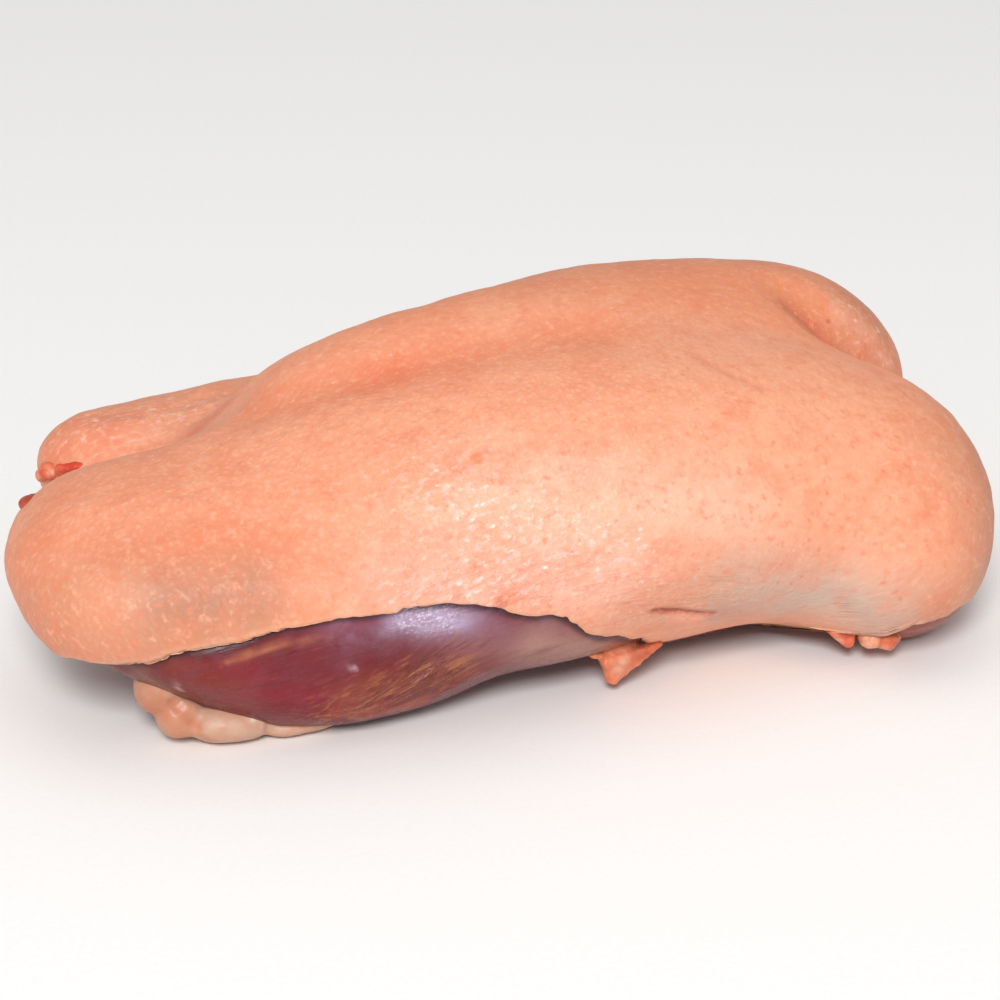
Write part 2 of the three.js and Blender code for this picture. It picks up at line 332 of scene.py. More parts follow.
@dataclass(frozen=True)
class BreastForm:
    """The form of the whole breast: masses that melt into each other, with soft grooves."""

    masses: tuple[Mass, ...] = (
        Mass((22, -26, 41), (92, 46, 38)),
        Mass((91, -34, 27), (31, 39, 30.5)),
        Mass((44, 26, 42), (74, 38, 38)),
        Mass((86, 33, 38), (32, 31, 29.5)),
        Mass((6, 6, 48), (80, 28, 35.3)),
        Mass((-34, -12, 44), (54, 32, 25)),
        Mass((-46, -36, 34), (72, 34, 25)),
        Mass((-22, 38, 30), (70, 28, 24)),
        Mass((-94, -20, 36.6), (38, 36, 21.4)),
        Mass((-108, -40, 35.6), (16, 16, 11.4)),
        Mass((-75, 41, 35.5), (36, 16, 12)),
        Mass((-100, 36, 37.2), (11, 11, 9.8)),
        Mass((-111, 3, 38), (9, 12, 9)),
    )
    bare_masses: tuple[Mass, ...] = (
        Mass((-55, -44, 17), (41, 25, 19)),
        Mass((-86, -44, 24), (23, 21, 11)),
        Mass((-16, -46, 22), (52, 19, 13)),
        Mass((-34, 36, 16), (66, 24, 19)),
        Mass((95, -32, 20), (21, 32, 22)),
        Mass((16, 0, 14), (98, 48, 20)),
    )
    grooves: tuple[Groove, ...] = (
        Groove(Stroke(((84, 12, 77), (96, 3, 66), (108, -1, 54), (118, -3, 42)), 8), (3, 14)),
        Groove(Stroke(((-68, -12, 72), (-31, -15, 77), (22, -14, 81)), 8), (2, 1)),
        Groove(Stroke(((-116, -44, 52), (-79, -56, 54), (-58, -61, 52)), 10), (2, 1)),
        Groove(Stroke(((-114, 12, 48), (-92, 8, 56), (-72, 6, 66)), 11), (7, 3)),
    )
    heart: Point = (0.0, 0.0, 36.0)
    stretch: Point = (130.0, 72.0, 44.0)
    form_blend: float = 7.0
    flesh_blend: float = 4.0
    groove_widening: float = 3.0
    skin_thickness: float = 4.0
    reach: float = 200.0
    halvings: int = 10
    stride: float = 3.0  # steps of the search for an edge, in degrees
    narrowings: int = 9
    map_turns: int = 180  # turns and steps of the grid that the skin is laid out by
    map_steps: int = 60
    map_end: float = 174.0
    edge: CutEdge = field(default_factory=CutEdge)

    def skin_depth(self, places: np.ndarray, widen: float = 0.0) -> np.ndarray:
        """Below zero under the skin's outer face, and above it outside.

        Args:
            places: rows of x, y and z.
            widen: how much wider the grooves are.

        Returns:
            One depth for each row, in millimetres.
        """
        depth = melt([mass.depth(places) for mass in self.masses], self.form_blend)
        for groove in self.grooves:
            depth = depth + groove.press(places, widen)
        return depth

    def flesh_depth(self, places: np.ndarray) -> np.ndarray:
        """Below zero in the flesh, with its bare flanks, and above it outside.

        Args:
            places: rows of x, y and z.

        Returns:
            One depth for each row, in millimetres.
        """
        covered = self.skin_depth(places, self.groove_widening) + self.skin_thickness
        bare = [mass.depth(places) for mass in self.bare_masses]
        return melt([covered, *bare], self.flesh_blend)

    def ways(self, around: np.ndarray, down: np.ndarray) -> np.ndarray:
        """Directions out of the heart.

        Args:
            around: turn about the upright axis, in radians from +X.
            down: turn away from straight up, in radians.

        Returns:
            Rows of unit directions.
        """
        flat = np.sin(down)
        ball = np.stack([flat * np.cos(around), flat * np.sin(around), np.cos(down)], axis=1)
        way = ball * np.array(self.stretch)
        return way / np.linalg.norm(way, axis=1)[:, None]

    def surface(self, ways: np.ndarray, layer: Layer) -> np.ndarray:
        """Finds where directions out of the heart leave a layer.

        Args:
            ways: rows of unit directions.
            layer: the layer that they leave.

        Returns:
            Rows of places on that layer's outer face.
        """
        depth = self.skin_depth if layer is Layer.SKIN else self.flesh_depth
        heart = np.array(self.heart)
        inside = np.zeros(len(ways))
        outside = np.full(len(ways), self.reach)
        for _ in range(self.halvings):
            middle = (inside + outside) / 2
            beyond = depth(heart + ways * middle[:, None]) > 0
            outside = np.where(beyond, middle, outside)
            inside = np.where(beyond, inside, middle)
        low = depth(heart + ways * inside[:, None])
        high = depth(heart + ways * outside[:, None])
        share = np.clip(-low / (high - low), 0.0, 1.0)
        return heart + ways * (inside + (outside - inside) * share)[:, None]

    def drop_to(
        self, around: np.ndarray, layer: Layer, height: Callable[[np.ndarray], np.ndarray],
        first: float, last: float,
    ) -> np.ndarray:
        """Finds how far down each turn round the heart reaches a height.

        Args:
            around: turns about the upright axis, in radians.
            layer: the layer whose face is followed.
            height: function from places to the height that ends the way down.
            first: where the search starts, in degrees from straight up.
            last: where it ends.

        Returns:
            The turn away from straight up at which each one gets there, in radians.
        """
        def above(down: np.ndarray) -> np.ndarray:
            """How far the face is over the height."""
            places = self.surface(self.ways(around, down), layer)
            return places[:, 2] - height(places)

        step = math.radians(self.stride)
        over = np.full(len(around), math.radians(first))
        open_still = np.ones(len(around), bool)
        for down in np.arange(math.radians(first), math.radians(last), step):
            open_still &= above(np.full(len(around), down)) > 0
            over = np.where(open_still, down, over)
        under = over + step
        for _ in range(self.narrowings):
            middle = (over + under) / 2
            clear = above(middle) > 0
            over = np.where(clear, middle, over)
            under = np.where(clear, under, middle)
        return (over + under) / 2

    def laid_out(self, around: np.ndarray, down: np.ndarray) -> np.ndarray:
        """Lays the skin out flat, so that a pattern on it keeps its size.

        Args:
            around: turn of each place about the upright axis, in radians.
            down: its turn away from straight up.

        Returns:
            Rows of two lengths from the top of the breast along the skin, and a zero.
        """
        turns, steps = self.map_turns, self.map_steps
        farthest = math.radians(self.map_end)
        turn_at = np.linspace(0, 2 * math.pi, turns + 1)
        down_at = np.linspace(0, farthest, steps + 1)
        grid_turn, grid_down = np.meshgrid(turn_at, down_at, indexing="ij")
        spread = self.surface(self.ways(grid_turn.ravel(), grid_down.ravel()), Layer.SKIN)
        spread = spread.reshape(turns + 1, steps + 1, 3)
        strides = np.linalg.norm(np.diff(spread, axis=1), axis=2)
        length = np.concatenate([np.zeros((turns + 1, 1)), np.cumsum(strides, axis=1)], axis=1)
        across = np.clip(around / (2 * math.pi) * turns, 0, turns - 1e-6)
        along = np.clip(down / farthest * steps, 0, steps - 1e-6)
        i, j = across.astype(int), along.astype(int)
        p, q = across - i, along - j
        reach = (
            length[i, j] * (1 - p) * (1 - q) + length[i + 1, j] * p * (1 - q)
            + length[i, j + 1] * (1 - p) * q + length[i + 1, j + 1] * p * q
        )
        heading = np.arctan2(self.stretch[1] * np.sin(around), self.stretch[0] * np.cos(around))
        flat = np.stack([reach * np.cos(heading), reach * np.sin(heading)], axis=1)
        return np.concatenate([flat, np.zeros((len(flat), 1))], axis=1)


# Meshes


@dataclass
class Shell:
    """Vertices and faces of a piece while it is being shaped."""

    places: np.ndarray
    faces: list

    def normals(self) -> np.ndarray:
        """Outward direction at each vertex, from the triangles round it."""
        triangles = np.array([part for face in self.faces for part in fan(face)])
        a, b, c = (self.places[triangles[:, corner]] for corner in range(3))
        flat = np.cross(b - a, c - a)
        total = np.zeros_like(self.places)
        for corner in range(3):
            np.add.at(total, triangles[:, corner], flat)
        return total / (np.linalg.norm(total, axis=1)[:, None] + 1e-12)

    def to_object(self, name: str, finish: bpy.types.Material) -> bpy.types.Object:
        """Makes the Blender object of the piece, with smooth shading.

        Args:
            name: the piece's name.
            finish: its material.

        Returns:
            The object.
        """
        made = bpy.data.meshes.new(name)
        made.from_pydata(to_frame(self.places).tolist(), [], [list(face) for face in self.faces])
        made.shade_smooth()
        made.validate()
        made.materials.append(finish)
        return put(name, made)


def fan(face: tuple[int, ...]) -> list[tuple[int, int, int]]:
    """Splits a face into triangles round its first corner."""
    return [(face[0], face[k], face[k + 1]) for k in range(1, len(face) - 1)]


def paint(piece: bpy.types.Object, name: str, colours: np.ndarray) -> None:
    """Stores a colour for each vertex under a name that a finish reads.

    Args:
        piece: the piece.
        name: the name.
        colours: a linear colour for each of its vertices.
    """
    layer = piece.data.color_attributes.new(name, "FLOAT_COLOR", "POINT")
    full = np.concatenate([colours, np.ones((len(colours), 1))], axis=1)
    layer.data.foreach_set("color", full.astype(np.float32).ravel())


def mark(piece: bpy.types.Object, name: str, values: np.ndarray) -> None:
    """Stores a number or a vector for each vertex under a name that a finish reads.

    Args:
        piece: the piece.
        name: the name.
        values: one number, or one row of three, for each of its vertices.
    """
    if values.ndim == 1:
        layer = piece.data.attributes.new(name, "FLOAT", "POINT")
        layer.data.foreach_set("value", values.astype(np.float32))
    else:
        layer = piece.data.attributes.new(name, "FLOAT_VECTOR", "POINT")
        layer.data.foreach_set("vector", values.astype(np.float32).ravel())


def places_of(piece: bpy.types.Object) -> np.ndarray:
    """Reads a piece's vertices back, in millimetres of the form.

    Args:
        piece: the piece.

    Returns:
        Rows of x, y and z.
    """
    flat = np.empty(len(piece.data.vertices) * 3, np.float32)
    piece.data.vertices.foreach_get("co", flat)
    return flat.reshape(-1, 3).astype(float) / MILLIMETRE - np.array(TO_MIDDLE)


def put(name: str, data: bpy.types.ID) -> bpy.types.Object:
    """Makes an object of some data and adds it to the scene.

    Args:
        name: the object's name.
        data: its mesh, lamp or camera.

    Returns:
        The object.
    """
    made = bpy.data.objects.new(name, data)
    bpy.context.scene.collection.objects.link(made)
    return made


def report(piece: bpy.types.Object) -> None:
    """Tells the log how large a finished piece is."""
    log.info("%s: %d vertices, %d faces", piece.name, len(piece.data.vertices), len(piece.data.polygons))


# Finishes


class Board:
    """A material's nodes, with a short call for each kind that the finishes use."""

    def __init__(self, name: str) -> None:
        """Starts an empty material of that name.

        Args:
            name: the material's name.
        """
        self.material = bpy.data.materials.new(name)
        self.material.use_nodes = True
        self.tree = self.material.node_tree
        self.tree.nodes.clear()

    def node(self, kind: str, **settings) -> bpy.types.Node:
        """Adds a node and sets its properties.

        Args:
            kind: the node's type.
            settings: its properties by name.

        Returns:
            The node.
        """
        made = self.tree.nodes.new(kind)
        for key, value in settings.items():
            setattr(made, key, value)
        return made

    def join(self, value: object, socket: Socket) -> None:
        """Links an output into a socket, or sets the socket's own value.

        Args:
            value: an output, a value, or None for the socket's default.
            socket: the socket.
        """
        if isinstance(value, Socket):
            self.tree.links.new(value, socket)
        elif value is not None:
            socket.default_value = value

    def painted(self, name: str) -> Socket:
        """The colour that was stored on the vertices."""
        return self.node("ShaderNodeAttribute", attribute_name=name).outputs["Color"]

    def marked(self, name: str) -> Socket:
        """The number that was stored on the vertices."""
        return self.node("ShaderNodeAttribute", attribute_name=name).outputs["Fac"]

    def vector(self, name: str) -> Socket:
        """The vector that was stored on the vertices."""
        return self.node("ShaderNodeAttribute", attribute_name=name).outputs["Vector"]

    def along(self, vector: Socket, draw_out: Point, turn: Point) -> Socket:
        """Draws whatever is made from a vector out along axes that are turned from its own.

        Args:
            vector: the vector.
            draw_out: how much longer the pattern gets along each axis.
            turn: the turn of those axes, in radians.

        Returns:
            The new vector.
        """
        mapped = self.node("ShaderNodeMapping", vector_type="TEXTURE")
        self.join(vector, mapped.inputs["Vector"])
        mapped.inputs["Scale"].default_value = draw_out
        mapped.inputs["Rotation"].default_value = turn
        return mapped.outputs["Vector"]

    def space(self, draw_out: Point = (1.0, 1.0, 1.0), turn: Point = (0.0, 0.0, 0.0)) -> Socket:
        """Object coordinates in millimetres, drawn out along turned axes.

        Args:
            draw_out: how much longer the pattern gets along each axis.
            turn: the turn of those axes, in radians.

        Returns:
            The vector.
        """
        source = self.node("ShaderNodeTexCoord").outputs["Object"]
        stretch = (draw_out[0] * MILLIMETRE, draw_out[1] * MILLIMETRE, draw_out[2] * MILLIMETRE)
        return self.along(source, stretch, turn)

    def noise(
        self, vector: Socket, size: float, detail: float = 2.0, rough: float = 0.5
    ) -> Socket:
        """Makes cloudy noise.

        Args:
            vector: the space that it fills.
            size: about how large its features are.
            detail: how many finer layers it has.
            rough: how strong the finer layers are.

        Returns:
            A value from 0 to 1.
        """
        made = self.node("ShaderNodeTexNoise")
        self.join(vector, made.inputs["Vector"])
        made.inputs["Scale"].default_value = 1.0 / size
        made.inputs["Detail"].default_value = detail
        made.inputs["Roughness"].default_value = rough
        return made.outputs["Fac"]

    def cells(
        self, vector: Socket, size: float, scatter: float, flat: bool = False
    ) -> bpy.types.Node:
        """Cells of about that size, with how far each point is from its cell's middle.

        Args:
            vector: the space that they fill.
            size: about how large they are.
            scatter: how uneven they are, from 0 to 1.
            flat: whether they fill a plane only.

        Returns:
            The node, with its outputs.
        """
        made = self.node("ShaderNodeTexVoronoi", voronoi_dimensions="2D" if flat else "3D")
        self.join(vector, made.inputs["Vector"])
        made.inputs["Scale"].default_value = 1.0 / size
        made.inputs["Randomness"].default_value = scatter
        return made

    def between(
        self, value: Socket, low: float, high: float, to_low: float = 0.0, to_high: float = 1.0
    ) -> Socket:
        """Carries a value smoothly from one range to another, held at its ends.

        Args:
            value: the value.
            low: where its range starts.
            high: where its range ends.
            to_low: what it becomes at the start.
            to_high: what it becomes at the end.

        Returns:
            The new value.
        """
        made = self.node("ShaderNodeMapRange", interpolation_type="SMOOTHSTEP")
        self.join(value, made.inputs["Value"])
        for name, number in (
            ("From Min", low), ("From Max", high), ("To Min", to_low), ("To Max", to_high),
        ):
            made.inputs[name].default_value = number
        return made.outputs["Result"]

    def times(self, a: Value, b: Value) -> Socket:
        """Multiplies two numbers.

        Args:
            a: the first number.
            b: the second one.

        Returns:
            Their product.
        """
        made = self.node("ShaderNodeMath", operation="MULTIPLY")
        self.join(a, made.inputs[0])
        self.join(b, made.inputs[1])
        return made.outputs[0]

    def mix(self, share: Value, a: Paint, b: Paint) -> Socket:
        """Mixes two colours.

        Args:
            share: how much of the second one there is, from 0 to 1.
            a: the first colour.
            b: the second one.

        Returns:
            The mixed colour.
        """
        made = self.node("ShaderNodeMix", data_type="RGBA")
        self.join(share, made.inputs["Factor"])
        colours = [socket for socket in made.inputs if socket.type == "RGBA"]
        self.join(self.paint_of(a), colours[0])
        self.join(self.paint_of(b), colours[1])
        return next(socket for socket in made.outputs if socket.type == "RGBA")

    def paint_of(self, value: Paint) -> Paint:
        """Turns a screen colour into what a colour socket takes, and passes on an output.

        Args:
            value: a screen colour or an output.

        Returns:
            The linear colour or the output.
        """
        if isinstance(value, Socket):
            return value
        return (*linear(value), 1.0)

    def bump(
        self, height: Socket, depth: float, strength: Value = 1.0, over: Socket | None = None
    ) -> Socket:
        """Raises the surface's light and shade.

        Args:
            height: how high it is raised, from 0 to 1.
            depth: what a height of 1 stands for, in millimetres.
            strength: how much of it shows.
            over: the relief that it is laid over.

        Returns:
            The new relief.
        """
        made = self.node("ShaderNodeBump")
        self.join(height, made.inputs["Height"])
        made.inputs["Distance"].default_value = depth * MILLIMETRE
        self.join(strength, made.inputs["Strength"])
        self.join(over, made.inputs["Normal"])
        return made.outputs["Normal"]

    def near_point(self, centre: Point, radius: float) -> Socket:
        """A soft spot round one place of the form, 1 at its middle.

        Args:
            centre: the place.
            radius: about how far the spot reaches, in millimetres.

        Returns:
            A value from 0 to 1.
        """
        source = self.node("ShaderNodeTexCoord").outputs["Object"]
        made = self.node("ShaderNodeVectorMath", operation="DISTANCE")
        self.join(source, made.inputs[0])
        made.inputs[1].default_value = tuple(to_frame(np.array(centre, float)))
        return self.between(
            made.outputs["Value"], radius * 0.5 * MILLIMETRE, radius * 1.3 * MILLIMETRE, 1.0, 0.0
        )

    def shader(self, **inputs) -> bpy.types.Material:
        """Ends the material with its surface, and gives it back.

        Args:
            inputs: the surface's sockets by name, with underscores for spaces.

        Returns:
            The finished material.
        """
        surface = self.node("ShaderNodeBsdfPrincipled")
        for name, value in inputs.items():
            self.join(value, surface.inputs[name.replace("_", " ")])
        out = self.node("ShaderNodeOutputMaterial")
        self.tree.links.new(surface.outputs["BSDF"], out.inputs["Surface"])
        return self.material


@dataclass(frozen=True)
class Blemish:
    """A small spot on the skin."""

    centre: Point
    radius: float
    colour: Colour
    strength: float = 0.8


@dataclass(frozen=True)
class SkinFinish:
    """Moist plucked skin: fine pimples in slanted rows, pores, blotches and small spots, with painted light
    and shade on the pimples, and a pale film with painted sheen and painted glints where it is wet.
    """

    pitch: float = 2.1
    scatter: float = 0.8
    wander: float = 1.8  # how far the rows of pimples stray, in millimetres
    wander_size: float = 6.0
    slant: float = 0.85  # turn of the rows of pimples from the breast's length, in radians
    draw_out: float = 1.2
    pore_pitch: float = 2.9
    pore_slant: float = -0.5
    pore: Colour = (216, 104, 72)
    # This colour is painted light on the pimples' tops, and the next one is painted shade in the gaps between
    # them.
    painted_pimple_light: Colour = (248, 182, 150)
    gap: Colour = (224, 132, 96)
    blotch: Colour = (226, 130, 94)
    pale: Colour = (246, 180, 148)
    wrinkle: Colour = (216, 122, 96)
    # A pale wet film: partly the moisture's own whitening, partly painted sheen.
    pale_film_and_sheen: Colour = (252, 214, 202)
    # A painted highlight: the colour of the glints, laid into the base colour.
    painted_glint: Colour = (255, 236, 228)
    blemishes: tuple[Blemish, ...] = (
        Blemish((-18, -66, 56), 0.7, (120, 62, 44), 0.9),
        Blemish((-21, -53, 68), 1.8, (240, 122, 66), 0.6),
        Blemish((0, -70, 52), 0.7, (166, 92, 60), 0.8),
        Blemish((-2, -71, 48), 0.8, (190, 104, 74), 0.7),
        Blemish((-20, -72, 37), 2.0, (200, 104, 76), 0.6),
        Blemish((95, 11, 66), 0.9, (190, 100, 70), 0.7),
        Blemish((84, -73, 24), 1.0, (196, 88, 66), 0.7),
    )

    def build(self) -> bpy.types.Material:
        """Makes the material."""
        board = Board("plucked_skin")
        flat = board.vector("rows")
        space = board.space()
        wander = board.node("ShaderNodeTexNoise", noise_dimensions="2D")
        board.join(flat, wander.inputs["Vector"])
        wander.inputs["Scale"].default_value = 1.0 / self.wander_size
        strayed = board.node("ShaderNodeVectorMath", operation="MULTIPLY_ADD")
        board.join(wander.outputs["Color"], strayed.inputs[0])
        strayed.inputs[1].default_value = (self.wander, self.wander, 0.0)
        board.join(flat, strayed.inputs[2])
        slanted = board.along(strayed.outputs["Vector"], (self.draw_out, 1.0, 1.0), (0.0, 0.0, self.slant))
        pebble = board.cells(slanted, self.pitch, self.scatter, flat=True).outputs["Distance"]
        pimple = board.between(pebble, 0.0, 0.46, 1.0, 0.0)
        dashes = board.along(flat, (1.7, 1.0, 1.0), (0.0, 0.0, self.pore_slant))
        cells = board.cells(dashes, self.pore_pitch, 1.0, flat=True)
        pick = board.node("ShaderNodeSeparateColor")
        board.join(cells.outputs["Color"], pick.inputs["Color"])
        pore = board.between(cells.outputs["Distance"], 0.02, 0.24, 1.0, 0.0)
        sparse = board.between(pick.outputs["Red"], 0.35, 1.2)
        spots = board.times(board.times(pore, sparse), board.marked("pores"))

        colour = board.painted("tint")
        lively = board.marked("lively")
        patches = board.between(board.noise(space, 7.0, 3.0, 0.6), 0.42, 0.72, 0.0, 0.34)
        colour = board.mix(board.times(patches, lively), colour, self.blotch)
        mottle = board.noise(space, 2.4, 4.0, 0.65)
        paler = board.between(mottle, 0.52, 0.72, 0.0, 0.55)
        colour = board.mix(board.times(paler, lively), colour, self.pale)
        redder = board.between(mottle, 0.29, 0.47, 0.6, 0.0)
        colour = board.mix(board.times(redder, lively), colour, self.blotch)
        pebbles = board.marked("pebbles")
        # Painted light on the pimples' tops and painted shade in the gaps between them.
        colour = board.mix(
            board.times(board.times(pimple, pebbles), 0.2), colour, self.painted_pimple_light
        )
        pimple_gap_shade = board.times(board.between(pimple, 0.0, 1.0, 0.2, 0.0), pebbles)
        colour = board.mix(pimple_gap_shade, colour, self.gap)
        lines = board.noise(board.along(flat, (6.0, 1.0, 1.0), (0.0, 0.0, 0.06)), 1.1, 3.0, 0.6)
        wrinkled = board.marked("wrinkles")
        red_lines = board.times(board.between(lines, 0.52, 0.7), wrinkled)
        colour = board.mix(board.times(red_lines, 0.4), colour, self.wrinkle)
        colour = board.mix(board.times(spots, 0.55), colour, self.pore)
        for blemish in self.blemishes:
            spot = board.near_point(blemish.centre, blemish.radius)
            colour = board.mix(board.times(spot, blemish.strength), colour, blemish.colour)

        # Where the skin is wet: a pale film, partly the moisture's own whitening and partly painted sheen.
        smear = board.noise(board.along(flat, (1.5, 1.0, 1.0), (0.0, 0.0, 0.1)), 1.9, 4.0, 0.65)
        film = board.times(board.between(smear, 0.48, 0.64), board.marked("wet"))
        colour = board.mix(board.times(film, 0.42), colour, self.pale_film_and_sheen)
        # Painted glints: small bright highlight spots on the wet skin.
        beads = board.cells(board.along(flat, (1.5, 1.0, 1.0), (0.0, 0.0, 0.2)), 2.0, 1.0, flat=True)
        choice = board.node("ShaderNodeSeparateColor")
        board.join(beads.outputs["Color"], choice.inputs["Color"])
        bead = board.between(beads.outputs["Distance"], 0.0, 0.42, 1.0, 0.0)
        few = board.between(choice.outputs["Green"], 0.5, 1.0)
        streaked = board.between(smear, 0.46, 0.6)
        painted_glints = board.times(board.times(bead, few), board.marked("wet"))
        painted_glints = board.times(painted_glints, streaked)
        colour = board.mix(board.times(painted_glints, 0.9), colour, self.painted_glint)
        roughness = board.between(film, 0.0, 1.0, 0.52, 0.3)

        grain = board.bump(board.noise(space, 0.7, 2.0, 0.6), 0.1, 0.5)
        dimples = board.bump(mottle, 0.3, 0.4, grain)
        creases = board.bump(lines, 0.5, board.times(wrinkled, 0.9), dimples)
        shining = board.times(board.marked("wet"), 0.6)
        flecks = board.bump(board.noise(space, 2.0, 2.0, 0.55), 0.5, shining, creases)
        raised = board.bump(pimple, 0.12, board.between(pebbles, 0.0, 1.0, 0.2, 1.0), flecks)
        return board.shader(
            Base_Color=colour,
            Roughness=roughness,
            Normal=raised,
            Subsurface_Weight=0.2,
            Subsurface_Radius=(1.0, 0.4, 0.25),
            Subsurface_Scale=0.002,
            Specular_IOR_Level=0.4,
        )


@dataclass(frozen=True)
class MuscleFinish:
    """Wet muscle under a thin silver membrane, with fibres along it and painted highlight flecks."""

    name: str = "wet_muscle"
    rise: float = 0.2  # turn of the fibres upwards from the breast's length, in radians
    fold_rise: float = 0.5
    dark: Colour = (92, 26, 34)
    light: Colour = (172, 88, 84)
    membrane: Colour = (176, 148, 176)
    straw: Colour = (172, 108, 66)
    shade: Colour = (88, 24, 22)
    # A painted highlight: bright flecks laid into the base colour.
    painted_gleam: Colour = (244, 236, 252)

    def build(self) -> bpy.types.Material:
        """Makes the material."""
        board = Board(self.name)
        space = board.space()
        lengthwise = board.space((9.0, 1.0, 1.0), (0.0, -self.rise, 0.0))
        fibres = board.noise(lengthwise, 0.7, 3.0, 0.6)
        broad = board.noise(lengthwise, 2.2, 3.0, 0.6)
        steep = board.space((6.0, 1.0, 1.0), (0.0, -self.fold_rise, 0.0))
        strands = board.noise(steep, 1.15, 3.0, 0.6)
        folds = board.marked("folds")
        colour = board.painted("tint")
        colour = board.mix(board.between(broad, 0.5, 0.75, 0.0, 0.5), colour, self.dark)
        colour = board.mix(board.between(fibres, 0.56, 0.8, 0.0, 0.25), colour, self.light)
        pale = board.times(board.between(strands, 0.5, 0.66), folds)
        colour = board.mix(board.times(pale, 0.75), colour, self.straw)
        deep = board.times(board.between(strands, 0.3, 0.46, 1.0, 0.0), folds)
        colour = board.mix(board.times(deep, 0.8), colour, self.shade)
        film = board.between(board.noise(space, 8.0, 4.0, 0.6), 0.42, 0.68)
        film = board.times(film, board.marked("silver"))
        colour = board.mix(board.times(film, 0.3), colour, self.membrane)
        # Painted highlight: bright lilac-white flecks where the gleam mark is.
        flakes = board.noise(board.space((1.7, 1.0, 1.0), (0.0, -self.rise, 0.0)), 0.6, 4.0, 0.75)
        painted_glint = board.times(board.between(flakes, 0.47, 0.66), board.marked("painted_gleam"))
        colour = board.mix(board.times(painted_glint, 0.75), colour, self.painted_gleam)
        roughness = board.between(board.noise(space, 4.0, 2.0), 0.3, 0.7, 0.22, 0.4)
        threads = board.bump(fibres, 0.16, 0.7)
        wrinkles = board.bump(broad, 0.5, 0.5, threads)
        ridges = board.bump(strands, 0.9, folds, wrinkles)
        return board.shader(
            Base_Color=colour,
            Roughness=roughness,
            Normal=ridges,
            Subsurface_Weight=0.12,
            Subsurface_Radius=(1.0, 0.25, 0.2),
            Subsurface_Scale=0.002,
            Specular_IOR_Level=0.3,
            Coat_Weight=0.08,
            Coat_Roughness=0.2,
        )


@dataclass(frozen=True)
class BoneFinish:
    """Moist bone with pink marrow showing through and a little blood in its pits."""

    bone: Colour = (232, 208, 184)
    pink: Colour = (214, 146, 126)
    blood: Colour = (150, 56, 48)

    def build(self) -> bpy.types.Material:
        """Makes the material."""
        board = Board("moist_bone")
        space = board.space()
        colour = board.mix(board.between(board.noise(space, 12.0, 4.0, 0.6), 0.35, 0.7), self.bone, self.pink)
        pits = board.between(board.noise(space, 2.6, 3.0, 0.65), 0.58, 0.75)
        colour = board.mix(board.times(pits, 0.6), colour, self.blood)
        roughness = board.between(board.noise(space, 4.0), 0.3, 0.7, 0.3, 0.5)
        relief = board.bump(board.noise(space, 1.2, 3.0, 0.6), 0.2, 0.6)
        return board.shader(
            Base_Color=colour,
            Roughness=roughness,
            Normal=relief,
            Subsurface_Weight=0.2,
            Subsurface_Radius=(1.0, 0.6, 0.4),
            Subsurface_Scale=0.002,
            Coat_Weight=0.2,
            Coat_Roughness=0.25,
        )


@dataclass(frozen=True)
class FatFinish:
    """Soft wet fat or flesh over its painted colours, paler in lobes and darker in folds."""

    name: str
    pale: Colour
    deep: Colour
    grain: float = 2.0
    roughness: float = 0.3
    mottle: float = 0.35

    def build(self) -> bpy.types.Material:
        """Makes the material."""
        board = Board(self.name)
        space = board.space()
        lobes = board.cells(space, self.grain * 1.6, 1.0).outputs["Distance"]
        clouds = board.noise(space, self.grain * 2.5, 3.0, 0.6)
        colour = board.painted("tint")
        colour = board.mix(board.between(clouds, 0.4, 0.7, 0.0, self.mottle), colour, self.pale)
        folds = board.between(lobes, 0.45, 0.8, 0.0, self.mottle)
        colour = board.mix(folds, colour, self.deep)
        stain = board.noise(space, self.grain * 1.2, 4.0, 0.65)
        colour = board.mix(board.between(stain, 0.55, 0.78, 0.0, self.mottle), colour, self.deep)
        film = board.noise(space, self.grain)
        rough = board.between(film, 0.3, 0.7, self.roughness, self.roughness + 0.22)
        soft = board.bump(board.noise(space, self.grain * 0.5, 3.0, 0.6), 0.22, 0.6)
        lumps = board.bump(board.between(lobes, 0.0, 0.8, 1.0, 0.0), 0.3, 0.4, soft)
        return board.shader(
            Base_Color=colour,
            Roughness=rough,
            Normal=lumps,
            Specular_IOR_Level=0.35,
            Subsurface_Weight=0.25,
            Subsurface_Radius=(1.0, 0.45, 0.3),
            Subsurface_Scale=0.0015,
            Coat_Weight=0.12,
            Coat_Roughness=0.25,
        )


# The skin


